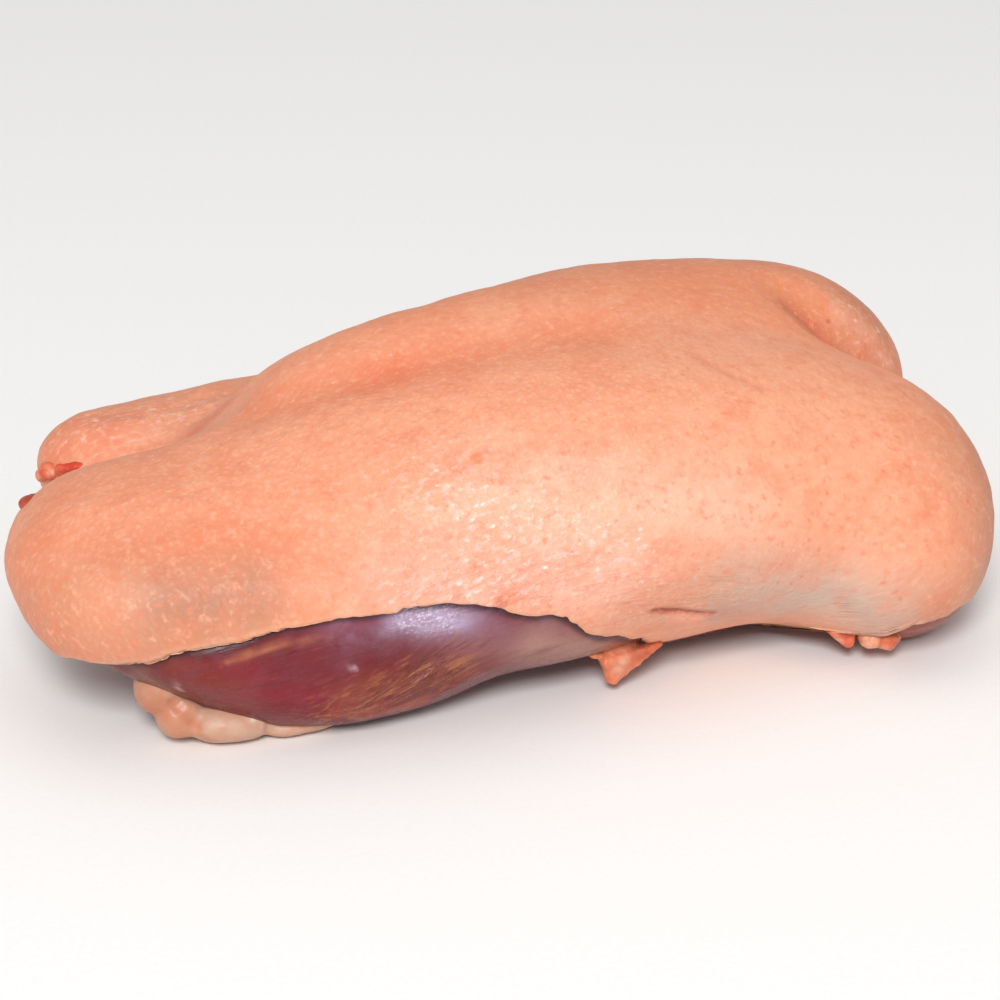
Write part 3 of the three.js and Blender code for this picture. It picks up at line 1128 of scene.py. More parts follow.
@dataclass
class Skin:
    """The blanket of skin and fat over both lobes, with its ragged cut edge."""

    form: BreastForm
    finish: SkinFinish = field(default_factory=SkinFinish)
    squares: int = 288  # along each side of the grid that is wrapped over the breast
    coarsening: int = 4  # how many squares of it one square of the hidden inner face spans
    lip_rings: int = 4
    lip_reach: float = 2.4
    inset: float = 0.35  # keeps the relief inside the solid's outer face
    gap: float = 0.35
    thinnest: float = 0.8
    deepest_crease: float = 0.9
    sink: float = 2.2  # how much deeper the coarse inner face lies away from the cut edge
    sink_hold: int = 8  # the higher, the nearer to the edge it starts to sink
    edge_hold: int = 16  # the higher, the nearer to the edge the grid starts to follow its tears
    calm_span: int = 41
    edge_retreat: float = 0.02
    inner_retreat: float = 0.012  # in radians
    swell: float = 0.45
    dimpling: float = 0.16
    pebble_height: float = 0.22
    fold_height: float = 0.35
    dampness: float = 0.12
    base: Colour = (236, 160, 124)
    flush: Colour = (226, 124, 84)
    cream: Colour = (240, 186, 152)
    # The next colour is painted shade over the far side and the top.
    far_side_shade: Colour = (198, 126, 90)
    crease: Colour = (214, 106, 78)
    fat: Colour = (244, 204, 172)

    # Tones of the skin: some are its own colour, others are painted shade or painted sheen, as marked.
    tones_and_painted_shade: tuple[Patch, ...] = (
        Patch(Stroke(((-20, -40, 74), (30, -52, 72), (70, -50, 62)), 24), (243, 170, 134), 0.8),
        # This and the next patch: a paler, pinker wet flank, partly the skin's own colour and partly painted
        # sheen.
        Patch(Stroke(((-36, -68, 50), (-14, -69, 52), (12, -71, 46)), 15), (240, 178, 150), 0.8),
        Patch(Stroke(((-20, -60, 64), (8, -66, 58), (40, -64, 52)), 14), (250, 200, 174), 0.6),
        # Painted shade: the tail end darker where it turns away from the light.
        Patch(Stroke(((-130, -20, 36), (-122, -44, 36)), 18), (202, 116, 80), 0.7),
        # Painted shade: the neck end darker where it turns away from the light.
        Patch(Stroke(((122, -44, 44), (126, -20, 38), (122, 0, 32)), 22), (177, 108, 72), 0.85),
        # This and the next patch: greyer and darker low on the neck side, partly thin skin and partly painted
        # shade.
        Patch(Stroke(((112, -55, 22), (96, -62, 16)), 15), (160, 116, 94), 0.85),
        Patch(Stroke(((40, -69, 27), (56, -66, 24), (78, -66, 21)), 13), (186, 176, 164), 0.9),
        # A paler, pinker wet flank, partly the skin's own colour and partly painted sheen.
        Patch(Stroke(((-44, -71, 42), (-16, -72, 42), (6, -71, 40)), 11), (240, 186, 168), 0.7),
        # Painted shade: the tail end darker where it turns away from the light.
        Patch(Stroke(((-120, -6, 40), (-124, -34, 30)), 14), (206, 118, 80), 0.5),
        # Painted shade: greyer and darker low on the flank.
        Patch(Stroke(((16, -70, 30), (34, -69, 27)), 11), (204, 156, 130), 0.7),
        # This and the next patch: painted shade, greyer and darker low at the tail.
        Patch(Stroke(((-102, -60, 42), (-84, -64, 44)), 13), (166, 115, 90), 0.85),
        Patch(Stroke(((-128, -40, 30), (-104, -62, 26)), 14), (200, 142, 112), 0.8),
        Patch(Stroke(((-132, -24, 42), (-122, -6, 48)), 14), (240, 148, 110), 0.7),
        Patch(Stroke(((-112, 32, 44), (-100, 30, 50)), 10), (222, 104, 58), 0.75),
        # Painted shade: the top of the far lobe darker.
        Patch(Stroke(((-20, 24, 78), (30, 22, 83), (76, 22, 74)), 24), (234, 142, 97), 0.85),
        Patch(Stroke(((84, -6, 76), (100, -20, 66)), 16), (255, 160, 114), 0.8),
        Patch(Stroke(((110, 14, 58), (104, 24, 62)), 12), (190, 118, 82), 0.85),
        Patch(Stroke(((-65, -9, 70), (-32, -15, 77), (23, -13, 81)), 8), (226, 122, 80), 0.5),
        Patch(Stroke(((-32, -15, 77),), 10), (230, 108, 66), 0.6),
        # Painted shade: darker along the valley on the tail's near side.
        Patch(Stroke(((-109, -49, 50), (-87, -50, 55), (-69, -57, 54)), 6), (226, 130, 88), 0.55),
        Patch(Stroke(((-95, -14, 60), (-81, -10, 65), (-66, 2, 73)), 6), (226, 130, 90), 0.35),
        Patch(Stroke(((-101, 27, 48), (-86, 24, 52)), 7), (240, 180, 152), 0.35),
        Patch(Stroke(((100, 14, 67), (106, 12, 61), (112, 10, 53)), 4), (232, 176, 150), 0.5),
        Patch(Stroke(((103, 22, 70), (111, 20, 60)), 3), (190, 122, 92), 0.5),
        # Painted shade: dark in the groove at the neck end.
        Patch(Stroke(((84, 11, 71), (90, 8, 66), (96, 3, 58), (102, 1, 51)), 4.5), (168, 92, 58), 0.75),
        # Painted shade: darker along the bottom of the groove at the tail.
        Patch(
            Stroke(((-110, 14, 43), (-100, 12, 46), (-84, 12, 51), (-70, 14, 60)), 4.5),
            (206, 100, 66), 0.55,
        ),
        Patch(Stroke(((-116, -52, 28), (-106, -58, 26)), 5), (226, 160, 132), 0.4),
    )
    details: tuple[Patch, ...] = (
        Patch(Stroke(((28, -68.5, 24.5), (33, -66, 20), (33, -62, 15)), 3.2), (238, 168, 142), 0.8),
        Patch(Stroke(((37, -66, 22), (46, -66, 20)), 3.0), (176, 146, 134), 0.6),
        Patch(Stroke(((19, -70, 28.4), (27, -69, 26.4), (36, -66.5, 23.4)), 1.1), (132, 46, 34), 0.95),
    )
    creased: tuple[tuple[Stroke, float], ...] = (
        (Stroke(((42, -28, 79), (46, -33, 78), (50, -38, 76.4), (56, -43, 74)), 1.4), 0.42),
        (Stroke(((20, -70, 28), (27, -69, 26), (36, -66, 23)), 0.9), 0.9),
        (Stroke(((69, -68, 25), (71, -67, 20), (73, -66, 17)), 1.6), 0.35),
        (Stroke(((84, 11, 71.5), (90, 8, 66), (96, 3, 58), (102, 1, 50.5)), 1.6), 0.8),
    )
    # Wet places: lower roughness, and the finish also lays its painted sheen and painted glints here.
    wetted: tuple[tuple[Stroke, float], ...] = (
        (Stroke(((-33, -55, 64), (-14, -68, 54), (8, -71, 46)), 12), 0.85),
        (Stroke(((-42, -71, 42), (-16, -72, 42)), 7), 0.8),
        (Stroke(((-104, 33, 47), (-92, 30, 50), (-76, 31, 53)), 9), 0.6),
        (Stroke(((110, 12, 56), (103, 16, 66)), 6), 0.35),
    )
    wrinkled: Stroke = Stroke(((-38, -71, 40), (-5, -71, 42), (24, -70, 30), (41, -71, 32)), 12)
    calm: Stroke = Stroke(((30, -70, 28), (56, -66, 24), (80, -66, 21)), 13)
    bumpy: Stroke = Stroke(((-110, 34, 44), (-90, 32, 50), (-68, 34, 54)), 11)
    pebbled: Stroke = Stroke(((-104, -34, 54), (-70, -30, 66), (-20, -40, 70), (10, -44, 72)), 26)

    def around_grid(self) -> tuple[np.ndarray, np.ndarray]:
        """Bends a square grid into a disc.

        Returns:
            The turn of each grid point round the disc, and its share of the way out.
        """
        side = np.linspace(-1.0, 1.0, self.squares + 1)
        a, b = np.meshgrid(side, side, indexing="ij")
        a, b = a.ravel(), b.ravel()
        wide = np.abs(a) >= np.abs(b)
        safe_a = np.where(a == 0, 1e-9, a)
        safe_b = np.where(b == 0, 1e-9, b)
        turn = np.where(wide, math.pi / 4 * b / safe_a, math.pi / 2 - math.pi / 4 * a / safe_b)
        out = np.where(wide, a, b)
        turn = np.where(out < 0, turn + math.pi, turn)
        return np.mod(turn, 2 * math.pi), np.abs(out)

    def border(self, squares: int) -> np.ndarray:
        """Indices of the grid's outermost points, in order round it.

        Args:
            squares: the squares along each side of the grid.

        Returns:
            The indices.
        """
        n = squares + 1
        first = [i * n for i in range(squares)]
        second = [squares * n + j for j in range(squares)]
        third = [i * n + squares for i in range(squares, 0, -1)]
        fourth = [j for j in range(squares, 0, -1)]
        return np.array(first + second + third + fourth)

    def ragged(self, places: np.ndarray) -> np.ndarray:
        """Height of the cut edge with the small tears of the knife.

        Args:
            places: rows of x, y and z.

        Returns:
            One height for each row, in millimetres over the table.
        """
        tears = 0.4 * Lumps(11, 6.0).at(places) + 0.45 * Lumps(12, 1.8).at(places)
        nicks = 1.6 * np.clip(Lumps(13, 3.0).at(places) - 0.45, 0, 1)
        return self.form.edge.height(places) + tears + nicks

    def relief(self, places: np.ndarray, rows: np.ndarray) -> np.ndarray:
        """How far the skin stands out from the smooth form.

        Args:
            places: vertices on the smooth form.
            rows: where each is on the skin laid out flat.

        Returns:
            The height of each one, in millimetres.
        """
        height = self.swell * Lumps(21, 24.0, layers=2).at(places)
        height += self.dimpling * Lumps(22, 5.0, layers=2).at(places)
        pebbles = self.pebbled.cover(places)
        height += self.pebble_height * pebbles * Lumps(23, 2.6).at(rows)
        height += self.bumpy.cover(places) * (Lumps(25, 7.0, layers=2).at(places) - 0.35)
        folds = Lumps(24, 2.6, stretch=(6.0, 1.0, 1.0), layers=2).at(rows)
        height += self.fold_height * self.wrinkled.cover(places) * folds
        for stroke, strength in self.creased:
            height -= self.deepest_crease * strength * stroke.cover(places)
        return height - self.swell - self.inset

    def tint(self, places: np.ndarray, to_edge: np.ndarray) -> np.ndarray:
        """Paints the skin, with painted shade and painted sheen among its tones.

        Args:
            places: the outer face's vertices.
            to_edge: how far each is from the cut edge, in millimetres.

        Returns:
            A linear colour for each vertex.
        """
        painting = Painting(places, self.base)
        # Lays the tones, with their painted shade and sheen among them.
        painting.touch(self.tones_and_painted_shade, 0.25, 131)
        cloud = Lumps(31, 16.0, layers=3).at(places)
        painting.lay(self.flush, 0.3 * ramp(cloud, 0.0, 1.1))
        painting.lay(self.cream, 0.25 * ramp(-cloud, 0.1, 1.1))
        streaks = Lumps(32, 6.0, stretch=(2.0, 1.0, 1.0), layers=3, turn=0.4).at(places)
        painting.lay(self.flush, 0.3 * ramp(streaks, 0.2, 1.1))
        # Painted shade: the far side and the top darker and browner.
        back = ramp(places[:, 1], 10, 40) * ramp(places[:, 2], 30, 70)
        painting.lay(self.far_side_shade, 0.45 * back)
        creases = tuple(Patch(stroke, self.crease, share) for stroke, share in self.creased)
        painting.touch(creases, 0.5, 141)
        painting.touch(self.details, 0.45, 151)
        painting.lay(self.cream, 0.4 * (1 - ramp(to_edge, 0.8, 5.0)))
        return painting.colours

    def build(self) -> bpy.types.Object:
        """Makes the skin as one closed piece with a rounded cut edge."""
        form = self.form
        turn, out = self.around_grid()
        border = self.border(self.squares)
        order = np.argsort(turn[border])
        rim_turn = turn[border][order]
        drop = form.drop_to(rim_turn, Layer.SKIN, self.ragged, *EDGE_SEARCH)
        calm = self.calmed(drop)
        calm_at = np.interp(turn, rim_turn, calm, period=2 * math.pi)
        drop_at = np.interp(turn, rim_turn, drop, period=2 * math.pi)
        down = 2 * np.arcsin(np.clip(out * np.sin(calm_at / 2), 0, 1))
        down += (drop_at - calm_at) * out**self.edge_hold
        ways = form.ways(turn, down)
        outer = form.surface(ways, Layer.SKIN)

        n = self.squares + 1
        grid = np.arange(n * n).reshape(n, n)
        quads = np.stack([grid[:-1, :-1], grid[1:, :-1], grid[1:, 1:], grid[:-1, 1:]], axis=-1).reshape(-1, 4)
        shell = Shell(outer, quads.tolist())
        rows = form.laid_out(turn, down)
        normals = shell.normals()
        reach = np.linalg.norm(outer - np.array(form.heart), axis=1)
        to_edge = (1 - out) * calm_at * reach
        face = outer + normals * self.relief(outer, rows)[:, None]

        inner = self.inner_face(ways, outer)
        curl = np.clip(1 - to_edge / self.lip_reach, 0, 1)
        share = 0.5 * (1 - np.sqrt(np.clip(1 - curl**2, 0, 1)))
        face = lerp(face, inner, share)

        places = [face]
        flat = [rows]
        count = len(face)
        last_loop = border
        faces = quads.tolist()
        for ring in range(1, self.lip_rings + 1):
            sweep = math.pi / 2 * ring / self.lip_rings
            share = 0.5 + 0.5 * math.sin(sweep)
            back_off = self.lip_reach * (1 - math.cos(sweep)) / reach[border]
            ring_ways = form.ways(turn[border], down[border] - back_off)
            ring_outer = form.surface(ring_ways, Layer.SKIN)
            ring_inner = self.inner_face(ring_ways, ring_outer)
            places.append(ring_outer + (ring_inner - ring_outer) * share)
            flat.append(form.laid_out(turn[border], down[border] + back_off))
            loop = np.arange(count, count + len(border))
            faces += self.band(last_loop, loop)
            count += len(border)
            last_loop = loop

        few = self.squares // self.coarsening
        coarse = grid[:: self.coarsening, :: self.coarsening]
        m = few + 1
        coarse_flat = coarse.ravel()
        shrink = 1 - self.edge_retreat * (out[coarse_flat] > 0.999)
        inner_ways = form.ways(turn[coarse_flat], down[coarse_flat] * shrink - self.inner_retreat)
        inner_outer = form.surface(inner_ways, Layer.SKIN)
        sunk = self.sink * (1 - out[coarse_flat] ** self.sink_hold)
        places.append(self.inner_face(inner_ways, inner_outer, sunk))
        flat.append(form.laid_out(turn[coarse_flat], down[coarse_flat]))
        small = np.arange(count, count + m * m).reshape(m, m)
        inner_quads = np.stack([small[:-1, :-1], small[:-1, 1:], small[1:, 1:], small[1:, :-1]], axis=-1)
        faces += inner_quads.reshape(-1, 4).tolist()
        inner_loop = count + self.border(few)
        faces += self.stitch(last_loop, inner_loop)

        piece = Shell(np.concatenate(places), faces).to_object("skin_blanket", self.finish.build())
        self.dress(piece, outer, np.concatenate(flat), to_edge, len(face))
        return piece

    def calmed(self, drop: np.ndarray) -> np.ndarray:
        """The cut edge's way down without its tears, as a mean over its neighbours.

        Args:
            drop: the way down at even turns, in radians.

        Returns:
            The calmer way down.
        """
        span = self.calm_span
        looped = np.concatenate([drop[-span:], drop, drop[:span]])
        return np.convolve(looped, np.ones(span) / span, "same")[span:-span]

    def inner_face(
        self, ways: np.ndarray, outer: np.ndarray, sunk: np.ndarray | float = 0.0
    ) -> np.ndarray:
        """Finds the skin's inner face over the flesh.

        Args:
            ways: directions out of the heart.
            outer: where they leave the skin.
            sunk: how much deeper than usual the face lies, in millimetres.

        Returns:
            Rows of places on the inner face.
        """
        heart = np.array(self.form.heart)
        flesh = self.form.surface(ways, Layer.FLESH)
        under = np.linalg.norm(flesh - heart, axis=1) + self.gap
        thinnest = self.thinnest + self.inset + self.deepest_crease
        limit = np.linalg.norm(outer - heart, axis=1) - thinnest - sunk
        return heart + ways * np.minimum(under, limit)[:, None]

    def band(self, first: np.ndarray, second: np.ndarray) -> list[tuple[int, ...]]:
        """Faces between two loops of the same length.

        Args:
            first: indices of one loop's vertices, in order.
            second: those of the other.

        Returns:
            The faces.
        """
        after = np.roll(np.arange(len(first)), -1)
        return [
            (int(first[k]), int(first[j]), int(second[j]), int(second[k]))
            for k, j in enumerate(after)
        ]

    def stitch(self, fine: np.ndarray, coarse: np.ndarray) -> list[tuple[int, ...]]:
        """Joins two loops, with several steps of the fine one to each step of the coarse one.

        Args:
            fine: indices of the fine loop's vertices, in order.
            coarse: those of the coarse loop.

        Returns:
            The faces between them.
        """
        step = self.coarsening
        faces = []
        for k in range(len(coarse)):
            here, there = int(coarse[k]), int(coarse[(k + 1) % len(coarse)])
            run = [int(fine[(k * step + j) % len(fine)]) for j in range(step + 1)]
            half = step // 2
            faces += [(run[j], run[j + 1], here) for j in range(half)]
            faces.append((run[half], there, here))
            faces += [(run[j], run[j + 1], there) for j in range(half, step)]
        return faces

    def dress(
        self, piece: bpy.types.Object, outer: np.ndarray, rows: np.ndarray,
        to_edge: np.ndarray, count: int,
    ) -> None:
        """Paints the piece and stores what its finish reads.

        Args:
            piece: the skin.
            outer: its outer face before the relief.
            rows: where each vertex of the piece is on the skin laid out flat.
            to_edge: how far each is from the cut edge.
            count: how many vertices the outer face has.
        """
        total = len(piece.data.vertices)
        tint = np.tile(linear(self.fat), (total, 1))
        tint[:count] = self.tint(outer, to_edge)
        paint(piece, "tint", tint)
        mark(piece, "rows", rows)
        wet = sum(strength * stroke.cover(outer) for stroke, strength in self.wetted)
        lower = 1 - 0.6 * ramp(outer[:, 2], 60, 76)
        for name, values, rest in (
            ("wet", np.clip(np.clip(wet, 0, 1) + self.dampness, 0, 1), self.dampness),
            ("wrinkles", self.wrinkled.cover(outer), 0.0),
            ("pebbles", 0.4 + 0.6 * self.pebbled.cover(outer), 0.0),
            ("lively", 1 - 0.75 * self.calm.cover(outer), 1.0),
            ("pores", (0.3 + 0.7 * ramp(outer[:, 0], -10, 50)) * lower, 0.0),
        ):
            full = np.full(total, rest)
            full[:count] = values
            mark(piece, name, full)
        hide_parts("skin")
        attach(piece, BODY)


# The meat


@dataclass
class Meat:
    """The dark red meat: bare flank muscles, the rim that it stands on and the rib cavity."""

    form: BreastForm
    finish: MuscleFinish = field(default_factory=MuscleFinish)
    turns: int = 820
    hidden_rings: int = 20
    bare_rings: int = 56
    rim_rings: int = 6
    wall_rings: int = 24
    tuck: float = 0.11  # how far the bare part reaches under the skin, in radians
    hidden_inset: float = 3.0
    sinking: float = 0.09  # within how many radians of the edge it goes that deep
    below_table: float = 4.0
    foot_height: float = 12.0
    lowering: float = 0.9  # keeps the relief inside the solid's outer face
    evening: int = 14  # how many turns on each side the foot's line is evened over
    foot_rounding: float = 1.0
    cavity_centre: Point = (4.0, 0.0, -2.0)
    cavity_radii: Point = (84.0, 29.0, 25.0)

    crimson: Colour = (114, 30, 34)
    dusk: Colour = (88, 24, 38)
    veil: Colour = (150, 92, 96)
    dark: Colour = (154, 74, 54)
    rim_shade: Colour = (58, 22, 32)
    pink: Colour = (206, 130, 112)
    cavity_red: Colour = (168, 84, 76)
    patches: tuple[Patch, ...] = (
        Patch(
            Stroke(((-62, -67, 35), (-45, -68, 36), (-25, -68, 30), (-4, -67, 22)), 5.0),
            (134, 76, 94), 0.85,
        ),
        Patch(Stroke(((-28, -68, 24), (-16, -67, 21)), 8.0), (138, 88, 94), 0.8),
        Patch(Stroke(((-12, -67, 20), (-3, -65, 17), (14, -57, 12)), 8.0), (170, 128, 112), 0.85),
        Patch(Stroke(((-84, -66, 20), (-75, -68, 20), (-63, -69, 16)), 7.0), (134, 26, 42), 0.8),
        Patch(Stroke(((-76, -67, 27), (-66, -69, 23), (-56, -69, 26)), 5.0), (112, 34, 46), 0.7),
        Patch(Stroke(((-99, -62, 28), (-92, -63, 22), (-84, -66, 17)), 5.0), (128, 48, 32), 0.75),
        Patch(Stroke(((-109, -58, 27), (-106, -58, 22), (-101, -58, 17)), 4.0), (122, 82, 66), 0.8),
        Patch(Stroke(((-54, -66, 12), (-42, -66, 16), (-32, -66, 19)), 6.0), (148, 80, 50), 0.6),
        Patch(Stroke(((-62, -67, 8), (-50, -66, 8), (-39, -64, 9)), 3.0), (176, 70, 42), 0.7),
        # Painted highlight: a pale lilac halo round the muscle's painted gleam.
        Patch(Stroke(((-45, -68, 34.5), (-38, -68, 34), (-30, -69, 32)), 4.4), (200, 190, 222), 0.65),
        Patch(
            Stroke(((-88, -64, 27), (-80, -66, 29.5), (-71, -67, 31), (-62, -68, 31.5)), 1.0),
            (200, 124, 88), 0.7,
        ),
        Patch(Stroke(((-99, -61, 24), (-98, -60, 19), (-97, -61, 16)), 0.7), (226, 190, 186), 0.7),
        Patch(Stroke(((-61, -69, 25), (-56, -69, 23)), 0.6), (226, 196, 206), 0.8),
        Patch(
            Stroke(((-96, -61, 15), (-87, -65, 14), (-78, -67, 12), (-70, -67, 9)), 1.0),
            (74, 26, 26), 0.7,
        ),
    )
    folded: Stroke = Stroke(((-60, -66, 10), (-46, -66, 15), (-31, -66, 20)), 8.0)
    # Where the muscle's painted highlight lies.
    painted_gleam_place: Stroke = Stroke(((-43, -67, 34.4), (-38, -68, 34), (-33, -69, 33)), 3.4)

    def build(self) -> bpy.types.Object:
        """Makes the meat as one closed piece, ring by ring from its hidden top to the cavity."""
        form = self.form
        around = np.arange(self.turns) / self.turns * 2 * math.pi
        edge = form.drop_to(around, Layer.SKIN, form.edge.height, *EDGE_SEARCH)
        floor = form.drop_to(
            around, Layer.FLESH, lambda places: np.full(len(places), -self.below_table), *FOOT_SEARCH
        )
        floor = self.evened(floor)
        start = edge - self.tuck
        rings = []
        for k in range(1, self.hidden_rings + 1):
            rings.append(("hidden", start * k / self.hidden_rings))
        for k in range(1, self.bare_rings + 1):
            rings.append(("bare", start + (floor - start) * k / self.bare_rings))
        heart = np.array(form.heart)
        places = []
        for kind, down in rings:
            ways = form.ways(around, down)
            flesh = form.surface(ways, Layer.FLESH)
            covered = ramp(edge - down, 0.0, self.sinking)
            flesh = flesh - ways * (self.hidden_inset * covered)[:, None]
            places.append(flesh)
        outline = places[-1]
        top = heart + np.array([0, 0, 1.0]) * (
            form.surface(np.array([[0.0, 0.0, 1.0]]), Layer.FLESH)[0, 2] - heart[2] - self.hidden_inset
        )
        cx, cy, cz = self.cavity_centre
        rx, ry, rz = self.cavity_radii
        lowest = math.asin(-cz / rz)
        mouth_x = cx + rx * math.cos(lowest) * np.cos(around)
        mouth_y = cy + ry * math.cos(lowest) * np.sin(around)
        for k in range(1, self.rim_rings + 1):
            share = k / (self.rim_rings + 1)
            ring = np.stack([
                outline[:, 0] + (mouth_x - outline[:, 0]) * share,
                outline[:, 1] + (mouth_y - outline[:, 1]) * share,
                np.full(self.turns, -self.below_table),
            ], axis=1)
            places.append(ring)
        for k in range(self.wall_rings):
            rise = lowest + (math.pi / 2 - lowest) * k / self.wall_rings
            ring = np.stack([
                cx + rx * math.cos(rise) * np.cos(around),
                cy + ry * math.cos(rise) * np.sin(around),
                np.full(self.turns, cz + rz * math.sin(rise)),
            ], axis=1)
            places.append(ring)
        roof = np.array([cx, cy, cz + rz])
        count = len(places)
        flat = np.concatenate(places)
        index = np.arange(count * self.turns).reshape(count, self.turns)
        ahead = np.roll(index, -1, axis=1)
        quads = np.stack([index[:-1], index[1:], ahead[1:], ahead[:-1]], axis=-1).reshape(-1, 4).tolist()
        top_index, roof_index = count * self.turns, count * self.turns + 1
        caps = [(top_index, int(index[0, k]), int(ahead[0, k])) for k in range(self.turns)]
        caps += [(roof_index, int(ahead[-1, k]), int(index[-1, k])) for k in range(self.turns)]
        shell = Shell(np.concatenate([flat, top[None], roof[None]]), quads + caps)
        bare_from = self.hidden_rings * self.turns
        shell.places = self.shape(shell, bare_from)
        piece = shell.to_object("bare_meat", self.finish.build())
        self.dress(piece, shell.places)
        return piece

    def evened(self, floor: np.ndarray) -> np.ndarray:
        """Takes the jumps out of the foot's line, so that no gash runs up from it.

        Args:
            floor: the way down to the foot at even turns, in radians.

        Returns:
            The evened way down.
        """
        wide = [np.roll(floor, k) for k in range(-self.evening, self.evening + 1)]
        middle = np.median(np.stack(wide), axis=0)
        narrow = [np.roll(middle, k) for k in range(-self.evening // 2, self.evening // 2 + 1)]
        return np.mean(np.stack(narrow), axis=0)

    def shape(self, shell: Shell, bare_from: int) -> np.ndarray:
        """Gives the meat its fibres and folds, and rounds its foot on the table.

        Args:
            shell: the smooth meat.
            bare_from: the first vertex that isn't well under the skin.

        Returns:
            The new places.
        """
        places = shell.places
        normals = shell.normals()
        fibres = Lumps(41, 2.6, stretch=(9.0, 1.0, 1.0), layers=2, turn=0.2).at(places)
        strands = Lumps(44, 2.8, stretch=(6.0, 1.0, 1.0), layers=2, turn=0.5).at(places)
        broad = Lumps(42, 12.0, stretch=(2.0, 1.0, 1.0), layers=2).at(places)
        folds = self.folded.cover(places)
        height = 0.18 * fibres + 0.85 * folds * strands + 0.45 * broad - self.lowering
        height[:bare_from] = -self.lowering
        moved = places + normals * height[:, None]
        blend = self.foot_rounding
        rounded = blend * np.log1p(np.exp(np.clip(moved[:, 2] / blend, -30, 30)))
        floor_lumps = 0.5 * np.clip(Lumps(43, 6.0, layers=2).at(places), 0, 1)
        low = np.where(moved[:, 2] < -1.0, floor_lumps, 0.0)
        moved[:, 2] = np.where(moved[:, 2] < self.foot_height, rounded + low, moved[:, 2])
        return moved

    def dress(self, piece: bpy.types.Object, places: np.ndarray) -> None:
        """Paints the meat and stores what its finish reads.

        Args:
            piece: the meat.
            places: its vertices, in millimetres of the form.
        """
        x, y, z = places.T
        cloud = Lumps(51, 14.0, layers=3).at(places)
        below = self.form.edge.height(places) - z
        near, far = ramp(-y, 0, 20), ramp(y, 0, 20)
        inside = (
            ((x - self.cavity_centre[0]) / (self.cavity_radii[0] + 4)) ** 2
            + (y / (self.cavity_radii[1] + 3)) ** 2
        ) < 1
        cavity = inside & (z < 26)
        painting = Painting(places, self.crimson)
        painting.lay(self.dusk, 0.6 * ramp(cloud, -0.2, 0.9))
        painting.touch(self.patches, 0.45, 52)
        painting.lay(self.dark, ramp(x, 8, 14) * near)
        painting.lay(self.veil, 0.7 * far * ramp(cloud, -0.2, 0.9))
        rim = ramp(-below, -3.2, -1.0) * (1 - inside) * (1 - 0.7 * ramp(x, 50, 70))
        painting.lay(self.rim_shade, 0.75 * rim)
        painting.lay(self.cavity_red, np.where(cavity, 0.85, 0.0))
        painting.lay(self.pink, np.where(cavity, 0.5, 0.0) * ramp(cloud, -0.3, 0.7))
        under = (1 - ramp(z, 0.5, 3.0)) * (1 - inside)
        painting.lay(self.pink, 0.5 * under * ramp(cloud, -0.2, 0.6))
        paint(piece, "tint", painting.colours)
        silver = 0.12 + 0.88 * near * ramp(z, 24, 35) * ramp(x, -80, -50)
        mark(piece, "silver", np.where(inside, 0.1, silver))
        far_folds = 0.6 * Stroke(((-50, 62, 14), (-20, 62, 16)), 8.0).cover(places)
        mark(piece, "folds", self.folded.cover(places) + far_folds)
        # Marks where the finish paints its highlight flecks.
        mark(piece, "painted_gleam", self.painted_gleam_place.cover(places))
        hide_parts("breast_meat")
        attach(piece, BODY)


# The bones


@dataclass
class Breastbone:
    """The breastbone and its ribs in the roof of the cavity, softened from their solid."""

    node: str = "breastbone"
    finish: BoneFinish = field(default_factory=BoneFinish)
    voxel: float = 0.8
    smoothing: int = 6
    softness: float = 0.5
    unevenness: float = 0.35

    def build(self) -> bpy.types.Object:
        """Copies the solid, rounds it and roughens it a little."""
        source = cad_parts[self.node]
        piece = put("rib_cage", source.data.copy())
        soften(piece, self.voxel, self.smoothing, self.softness)
        places = places_of(piece)
        lumps = self.unevenness * Lumps(61, 3.5, layers=2).at(places)
        shift(piece, lumps - self.unevenness)
        coat(piece, self.finish.build())
        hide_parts(self.node)
        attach(piece, BODY)
        return piece


def soften(piece: bpy.types.Object, voxel: float, rounds: int, factor: float) -> None:
    """Grows the parts of a piece together and smooths the seams.

    Args:
        piece: the piece, whose mesh is replaced.
        voxel: the size of the new mesh's squares, in millimetres.
        rounds: how many times it is smoothed.
        factor: how strongly each time, from 0 to 1.
    """
    remesh = piece.modifiers.new("join", "REMESH")
    remesh.mode = "VOXEL"
    remesh.voxel_size = voxel * MILLIMETRE
    smooth = piece.modifiers.new("smooth", "SMOOTH")
    smooth.iterations = rounds
    smooth.factor = factor
    graph = bpy.context.evaluated_depsgraph_get()
    made = bpy.data.meshes.new_from_object(piece.evaluated_get(graph))
    piece.modifiers.clear()
    old = piece.data
    piece.data = made
    bpy.data.meshes.remove(old)


def coat(piece: bpy.types.Object, finish: bpy.types.Material) -> None:
    """Gives a piece smooth shading and its only material.

    Args:
        piece: the piece.
        finish: the material.
    """
    piece.data.shade_smooth()
    piece.data.materials.clear()
    piece.data.materials.append(finish)


def shift(piece: bpy.types.Object, amounts: np.ndarray) -> None:
    """Moves the vertices of a piece along their normals.

    Args:
        piece: the piece, whose mesh is changed.
        amounts: how far each vertex moves outwards, in millimetres.
    """
    count = len(piece.data.vertices)
    flat = np.empty(count * 3, np.float32)
    piece.data.vertices.foreach_get("co", flat)
    normals = np.empty(count * 3, np.float32)
    piece.data.vertex_normals.foreach_get("vector", normals)
    moved = flat.reshape(-1, 3) + normals.reshape(-1, 3) * (amounts * MILLIMETRE)[:, None]
    piece.data.vertices.foreach_set("co", moved.astype(np.float32).ravel())
    piece.data.update()


# The trimmings


